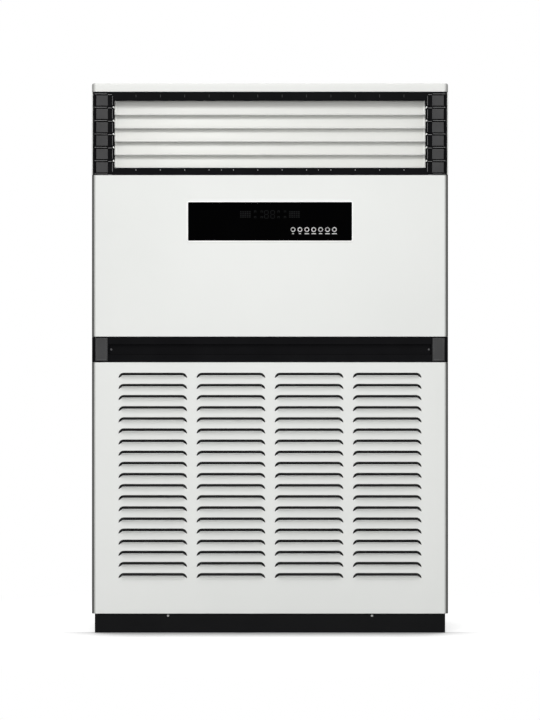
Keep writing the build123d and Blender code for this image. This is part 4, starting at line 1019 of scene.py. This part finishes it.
def studRow():
    # where the studs sit across the frame
    pitch = (studHigh.x - studLow.x - stud["solidWidth"]) / (stud["count"] - 1)
    first = -(stud["count"] - 1) / 2
    return [(first + index) * pitch for index in range(stud["count"])]


def makeStuds():
    z = (studLow.z + studHigh.z) / 2
    domes = []
    for x in studRow():
        domes.append(addDisc("stud", (x, faceY - stud["reach"] / 2, z), stud["radius"], stud["reach"],
                             stud["sides"], "Y", stud["round"], steps=3))
    for x in (-stud["faintX"], stud["faintX"]):
        domes.append(addDisc("stud", (x, faceY - stud["faintProud"], z), stud["faint"], stud["faintDepth"],
                             stud["faintSides"], "Y", stud["faintRound"], steps=1))
    piece = joinAll("snapStuds", domes)
    smooth(piece)
    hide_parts("frame_studs")
    finishOn(piece, "studWhite")


def makeClips():
    front, back = faceY - clip["reach"], faceY + clip["sunk"]
    clips = [addBar("clip", x, clip["z"], clip["width"], clip["height"], front, back, clip["round"], steps=2)
             for x in studRow()]
    piece = joinAll("frameClips", clips)
    smooth(piece)
    finishOn(piece, "tileGrey")


def makeEdgeStrips():
    # the side panels' front edges, seen beside the black frame, in a grey that paints the shade of the corners
    # turning away from the light
    low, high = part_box("outlet_frame")
    foot, top = low.z + edgeStrip["endGap"], high.z - edgeStrip["endGap"]
    strips = []
    for side in (1, -1):
        left, right = sorted(side * (halfWidth - edgeStrip[end]) for end in ("inset", "width"))
        corners = (left, faceY + edgeStrip["front"], foot), (right, faceY + edgeStrip["back"], top)
        strips.append(addBlock("strip", *corners, edgeStrip["round"]))
    piece = joinAll("edgeStrips", strips)
    smooth(piece)
    finishOn(piece, "stripPaintedShade")


makeColumnRibs()
makeStuds()
makeClips()
makeEdgeStrips()
print("outlet frame dressed")


# display: the lens and its rim, the rings, and the marks on the glass

display = {
    "corner": 0.003, "cornerSteps": 6, "edge": 0.0006, "edgeSteps": 2,
    "holeSides": 48, "holeSlack": 0.0003, "holeDepth": 0.02,
}
rim = {
    "outer": {"gap": 0.0046, "corner": 0.0076, "steps": 6},
    "inner": {"gap": 0.0004, "corner": 0.0034, "steps": 5},
    "proud": 0.0014, "round": 0.0008, "roundSteps": 3,
}
ring = {
    "radius": 0.009, "face": 0.0086, "silver": 0.0079, "well": 0.0051, "wellDepth": 0.0012,
    "wellEdge": 0.0002, "crown": 0.001, "crownSteps": 4, "depth": 0.005, "sides": 48, "blackDepth": 0.003,
    "stem": 0.006, "stemRoot": 0.0005, "stemRound": 0.0004,
}
bars = {"widths": (0.0065, 0.0065, 0.015, 0.015, 0.0105, 0.0155, 0.0165), "height": 0.0025, "drop": 0.0138}
mark = {"proud": 0.00012, "sunk": 0.0001, "round": 0.00005}
buttonBoxes = [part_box("button_" + str(number)) for number in range(1, 8)]
buttonMiddles = [(low + high) / 2 for low, high in buttonBoxes]


def makeLens():
    piece = addBlock("displayLens", lensLow, lensHigh)
    openEdit(piece)
    pickAlong(piece, "Y")
    bevelEdges(display["corner"], display["cornerSteps"])
    pickEdges(piece, lambda point: near(point.y, lensLow.y))
    bevelEdges(display["edge"], display["edgeSteps"])
    closeEdit()
    radius = ring["radius"] + display["holeSlack"]
    holes = [addDisc("hole", (middle.x, faceY, middle.z), radius, display["holeDepth"], display["holeSides"])
             for middle in buttonMiddles]
    cutter = joinAll("holeCutter", holes)
    addCut(piece, cutter)
    applyAll(piece)
    bpy.data.objects.remove(cutter)
    smooth(piece, degrees=20)
    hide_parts("display_lens")
    finishOn(piece, "lensBlack")


def makeRim():
    # the raised white bead round the glass
    piece = startSheet("lensRim")
    for edge in (rim["outer"], rim["inner"]):
        gap = edge["gap"]
        addOutline(piece, (lensLow.x - gap, lensLow.z - gap), (lensHigh.x + gap, lensHigh.z + gap),
                   edge["corner"], edge["steps"])
    fillBetween()
    pickAll()
    extrudeBy(0, -rim["proud"], 0)
    pickEdges(piece, lambda point: near(point.y, faceY - rim["proud"]))
    bpy.ops.mesh.region_to_loop()
    bevelEdges(rim["round"], rim["roundSteps"])
    closeEdit()
    faceOutward(piece)
    smooth(piece, degrees=40)
    finishOn(piece, "rimWhiteAndLipHighlight")


def makeRings():
    # a plated ring round a black well, on a square stem
    for number, (low, high) in enumerate(buttonBoxes, start=1):
        x, z = (low.x + high.x) / 2, (low.z + high.z) / 2
        piece = addDisc("ring", (x, low.y + ring["depth"] / 2, z), ring["face"], ring["depth"], ring["sides"])
        openEdit(piece)
        pick(piece, "FACE", lambda face: face.normal.y < -squareOn)
        bpy.ops.mesh.inset(thickness=ring["face"] - ring["well"])
        extrudeBy(0, ring["wellDepth"], 0)
        pickEdges(piece, lambda point: near(point.y, low.y))
        bevelEdges(ring["crown"], ring["crownSteps"])
        closeEdit()
        root = low.y + ring["depth"] - ring["stemRoot"]
        stem = addBar("stem", x, z, ring["stem"], ring["stem"], root, high.y, ring["stemRound"])
        piece = joinAll("ringButton" + str(number), [piece, stem])
        smooth(piece, degrees=30)
        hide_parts("button_" + str(number))
        finishOn(piece, "ringSilver", "button_" + str(number))
        piece.data.materials.append(finishes["lensBlack"])
        for face in piece.data.polygons:
            offset = math.hypot(face.center.x - x, face.center.z - z)
            dark = offset < ring["well"] - ring["wellEdge"] or offset > ring["silver"]
            face.material_index = 1 if dark and face.center.y < low.y + ring["blackDepth"] else 0


def addMark(x, z, width, height, bevel=0.0):
    return addBar("mark", x, z, width, height, lensLow.y - mark["proud"], lensLow.y + mark["sunk"], bevel)


def makeBars():
    marks = []
    for middle, width in zip(buttonMiddles, bars["widths"]):
        marks.append(addMark(middle.x, middle.z - bars["drop"], width, bars["height"], mark["round"]))
    finishOn(joinAll("buttonBars", marks), "markWhite")


readout = {
    "z": 1.4080, "digitX": (-0.0123, 0.0089), "digit": (0.0148, 0.0275), "stroke": 0.0022,
    "barTrim": 2.4, "postTrim": 1.6, "gridX": (-0.083, 0.082), "gridSize": (0.038, 0.024), "gridRows": 4,
    "gridCells": 5, "gridFill": (0.72, 0.62), "iconX": (-0.050, -0.028, 0.029, 0.0505), "iconRise": 0.0095,
    "icon": 0.0068, "iconPost": 0.3, "iconBar": (0.5, 0.25), "iconReach": 0.4,
}


def digitMarks(x, z):
    # a figure eight of seven strokes
    width, height = readout["digit"]
    stroke = readout["stroke"]
    barLength, postLength = width - readout["barTrim"] * stroke, height / 2 - readout["postTrim"] * stroke
    marks = [addMark(x, z + level * (height - stroke) / 2, barLength, stroke) for level in (-1, 0, 1)]
    for side in (-1, 1):
        for level in (-1, 1):
            marks.append(addMark(x + side * (width - stroke) / 2, z + level * height / 4, stroke, postLength))
    return marks


def gridMarks(x, z):
    width = readout["gridSize"][0] / readout["gridCells"]
    height = readout["gridSize"][1] / readout["gridRows"]
    fillX, fillZ = readout["gridFill"]
    marks = []
    for i in range(readout["gridCells"]):
        for j in range(readout["gridRows"]):
            across = x + (i - (readout["gridCells"] - 1) / 2) * width
            level = z + (j - (readout["gridRows"] - 1) / 2) * height
            marks.append(addMark(across, level, width * fillX, height * fillZ))
    return marks


def iconMarks(x, z):
    # two posts under a short bar
    size = readout["icon"]
    reach = size * readout["iconReach"]
    marks = [addMark(x + side * reach, z, size * readout["iconPost"], size) for side in (-1, 1)]
    marks.append(addMark(x, z + reach, size * readout["iconBar"][0], size * readout["iconBar"][1]))
    return marks


def makeReadout():
    # unlit shapes on the glass: two figure eights between small signs and two grids
    z = readout["z"]
    marks = []
    for x in readout["digitX"]:
        marks += digitMarks(x, z)
    for x in readout["gridX"]:
        marks += gridMarks(x, z)
    for x in readout["iconX"]:
        for rise in (-readout["iconRise"], readout["iconRise"]):
            marks += iconMarks(x, z + rise)
    finishOn(joinAll("readoutShapes", marks), "markDim")


makeLens()
makeRim()
makeRings()
makeBars()
makeReadout()
print("display made")


# caps of the middle trim, and the seen screws

cap = {"width": 0.041, "depth": 0.0033, "round": 0.0012, "panelInset": 0.0035, "panelStep": 0.0006}
screw = {
    "radius": 0.004, "head": 0.0016, "round": 0.0008, "sides": 24, "slot": 0.0009, "slotLength": 0.0046,
    "slotDepth": 0.0008, "hair": 0.00001, "plinthX": 0.3435, "plinthDrop": 0.0065, "trimSeat": 0.008,
}


def makeTrimCaps():
    low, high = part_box("trim_end_caps")
    caps = []
    for side in (1, -1):
        left, right = sorted((side * halfFlat, side * (halfFlat - cap["width"])))
        piece = addBlock("cap", (left, faceY, low.z), (right, faceY + cap["depth"], high.z), cap["round"])
        openEdit(piece)
        pick(piece, "FACE", lambda face: face.normal.y < -squareOn)
        bpy.ops.mesh.inset(thickness=cap["panelInset"])
        bpy.ops.mesh.inset(thickness=cap["panelStep"])
        bpy.ops.transform.translate(value=(0, cap["panelStep"], 0))
        closeEdit()
        caps.append(piece)
    piece = joinAll("trimCaps", caps)
    smooth(piece)
    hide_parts("trim_end_caps")
    finishOn(piece, "tileGrey")


def makeScrewHead(x, seat, z):
    # a pan head with a cross in it, facing -Y
    front = seat - screw["head"]
    head = addDisc("screw", (x, (seat + front) / 2, z), screw["radius"], screw["head"],
                   screw["sides"], "Y", screw["round"], steps=3)
    # the second slot is a hair deeper, so that no two faces share a plane
    arms = []
    for width, height, extra in (
        (screw["slotLength"], screw["slot"], 0.0), (screw["slot"], screw["slotLength"], screw["hair"]),
    ):
        depth = screw["slotDepth"] + extra
        arms.append(addBar("arm", x, z, width, height, front - depth, front + depth))
    for arm in arms:
        addCut(head, arm)
    applyAll(head)
    for arm in arms:
        bpy.data.objects.remove(arm)
    return head


def makeScrews():
    trimLow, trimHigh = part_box("middle_trim")
    plinthLow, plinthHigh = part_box("base_frame")
    plinthZ = plinthHigh.z - screw["plinthDrop"]
    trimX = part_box("cabinet_screws")[1].x - screw["radius"]
    trimZ = (trimLow.z + trimHigh.z) / 2
    heads = []
    for side in (1, -1):
        heads.append(makeScrewHead(side * screw["plinthX"], plinthLow.y, plinthZ))
        heads.append(makeScrewHead(side * trimX, faceY + screw["trimSeat"], trimZ))
    piece = joinAll("seenScrews", heads)
    smooth(piece)
    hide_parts("cabinet_screws")
    finishOn(piece, "screwBlack")
    piece.data.materials.append(finishes["studWhite"])  # the plinth's screws are bright
    for face in piece.data.polygons:
        face.material_index = 1 if face.center.z < (plinthZ + trimZ) / 2 else 0


makeTrimCaps()
makeScrews()
print("trim and screws made")


# stage, light and camera

view = {"distance": 9.0, "height": 0.918, "frameHeight": 2.4235, "film": 36, "reach": 60}
room = {"ambient": 0.97, "sideAmbient": 0.6, "sideFrom": 0.25, "sideTo": 0.8}
ground = {
    "radius": 14, "sides": 64, "drop": 0.0005, "roughness": 0.9, "colour": grey(0.5),
    "bounce": grey(0.3), "glow": 0.66, "fadeFrom": 0.8, "fadeTo": 1.5, "contact": 0.22,
    "shaded": 0.55, "open": 0.95, "footDepth": 0.04,
}
lampAim = Vector((0, -0.1, 0.95))
lamps = (
    ("keyLamp", (-0.8, -3.1, 4.7), 1.4, 66.0),
    ("fillLamp", (0.0, -5.5, 1.3), 2.2, 103.0),
    ("backLamp", (0.0, 3.2, 3.4), 3.0, 40.0),
)


def makeWorld():
    # white where it is seen, and a softer light, weaker from the sides, on everything else
    world = bpy.data.worlds.new("studio")
    bpy.context.scene.world = world
    world.use_nodes = True
    nodes, link = world.node_tree.nodes, world.node_tree.links.new
    nodes.clear()
    rays = nodes.new("ShaderNodeLightPath").outputs
    shown = mathOf(nodes, link, "MAXIMUM", rays["Is Camera Ray"], rays["Is Glossy Ray"])
    shown = mathOf(nodes, link, "MAXIMUM", shown, rays["Is Transmission Ray"])
    across = mathOf(nodes, link, "ABSOLUTE", splitUp(nodes, link, placeOn(nodes, "Generated"))["X"])
    soft = nodes.new("ShaderNodeBackground")
    limits = room["sideFrom"], room["sideTo"], room["ambient"], room["sideAmbient"]
    link(spread(nodes, link, across, *limits), soft.inputs["Strength"])
    white = nodes.new("ShaderNodeBackground")
    white.inputs["Color"].default_value = (1, 1, 1, 1)
    end = nodes.new("ShaderNodeOutputWorld")
    mixShaders(nodes, link, shown, soft.outputs[0], white.outputs[0], end)


def groundFinish():
    # pale, fading to white further out; its own glow is for the camera alone, so it lights nothing
    finish, nodes, link, shader = newFinish("paleFloor", ground["roughness"], specular=0.0)
    camera = nodes.new("ShaderNodeLightPath").outputs["Is Camera Ray"]
    place = placeOn(nodes)
    reach = nodes.new("ShaderNodeVectorMath")
    reach.operation = "LENGTH"
    link(place, reach.inputs[0])
    far = reach.outputs["Value"]
    fade = spread(nodes, link, far, ground["fadeFrom"], ground["fadeTo"], kind="SMOOTHSTEP")
    # the glow dims towards the foot in front of the cabinet, which leaves a contact shadow there
    nearby = nodes.new("ShaderNodeAmbientOcclusion")
    nearby.inputs["Distance"].default_value = ground["contact"]
    lit = spread(nodes, link, nearby.outputs["AO"], ground["shaded"], ground["open"], 0.0, ground["glow"])
    depth = splitUp(nodes, link, place)["Y"]
    behind = spread(nodes, link, depth, faceY, faceY + ground["footDepth"], 0.0, ground["glow"])
    glow = mathOf(nodes, link, "MULTIPLY", camera, mathOf(nodes, link, "MAXIMUM", lit, behind))
    link(glow, shader.inputs["Emission Strength"])
    shader.inputs["Emission Color"].default_value = (1, 1, 1, 1)
    link(mixColour(nodes, link, camera, ground["bounce"], ground["colour"]), shader.inputs["Base Color"])
    white = nodes.new("ShaderNodeEmission")
    faded = mathOf(nodes, link, "MULTIPLY", fade, camera)
    mixShaders(nodes, link, faded, shader.outputs[0], white.outputs[0], nodes["Material Output"])
    return finish


def makeFloor():
    deselectAll()
    bpy.ops.mesh.primitive_circle_add(
        vertices=ground["sides"], radius=ground["radius"], fill_type="NGON", location=(0, 0, -ground["drop"]))
    floor = bpy.context.object
    floor.name = "paleFloor"
    settle(floor)
    floor.data.materials.append(groundFinish())


def makeLamps():
    for name, spot, size, power in lamps:
        data = bpy.data.lights.new(name, "AREA")
        data.size = size
        data.energy = power
        lamp = bpy.data.objects.new(name, data)
        bpy.context.collection.objects.link(lamp)
        lamp.location = spot
        lamp.visible_camera = False
        lamp.rotation_euler = (lampAim - Vector(spot)).to_track_quat("-Z", "Y").to_euler()


def makeCamera():
    data = bpy.data.cameras.new("photoCamera")
    data.sensor_width = view["film"]
    data.clip_end = view["reach"]
    data.lens = view["film"] * view["distance"] / view["frameHeight"]
    camera = bpy.data.objects.new("photoCamera", data)
    bpy.context.collection.objects.link(camera)
    camera.location = (0, faceY - view["distance"], view["height"])
    camera.rotation_euler = (math.pi / 2, 0, 0)
    bpy.context.scene.camera = camera


makeWorld()
makeFloor()
makeLamps()
makeCamera()
bpy.context.scene.view_settings.view_transform = "Standard"
print("stage made")
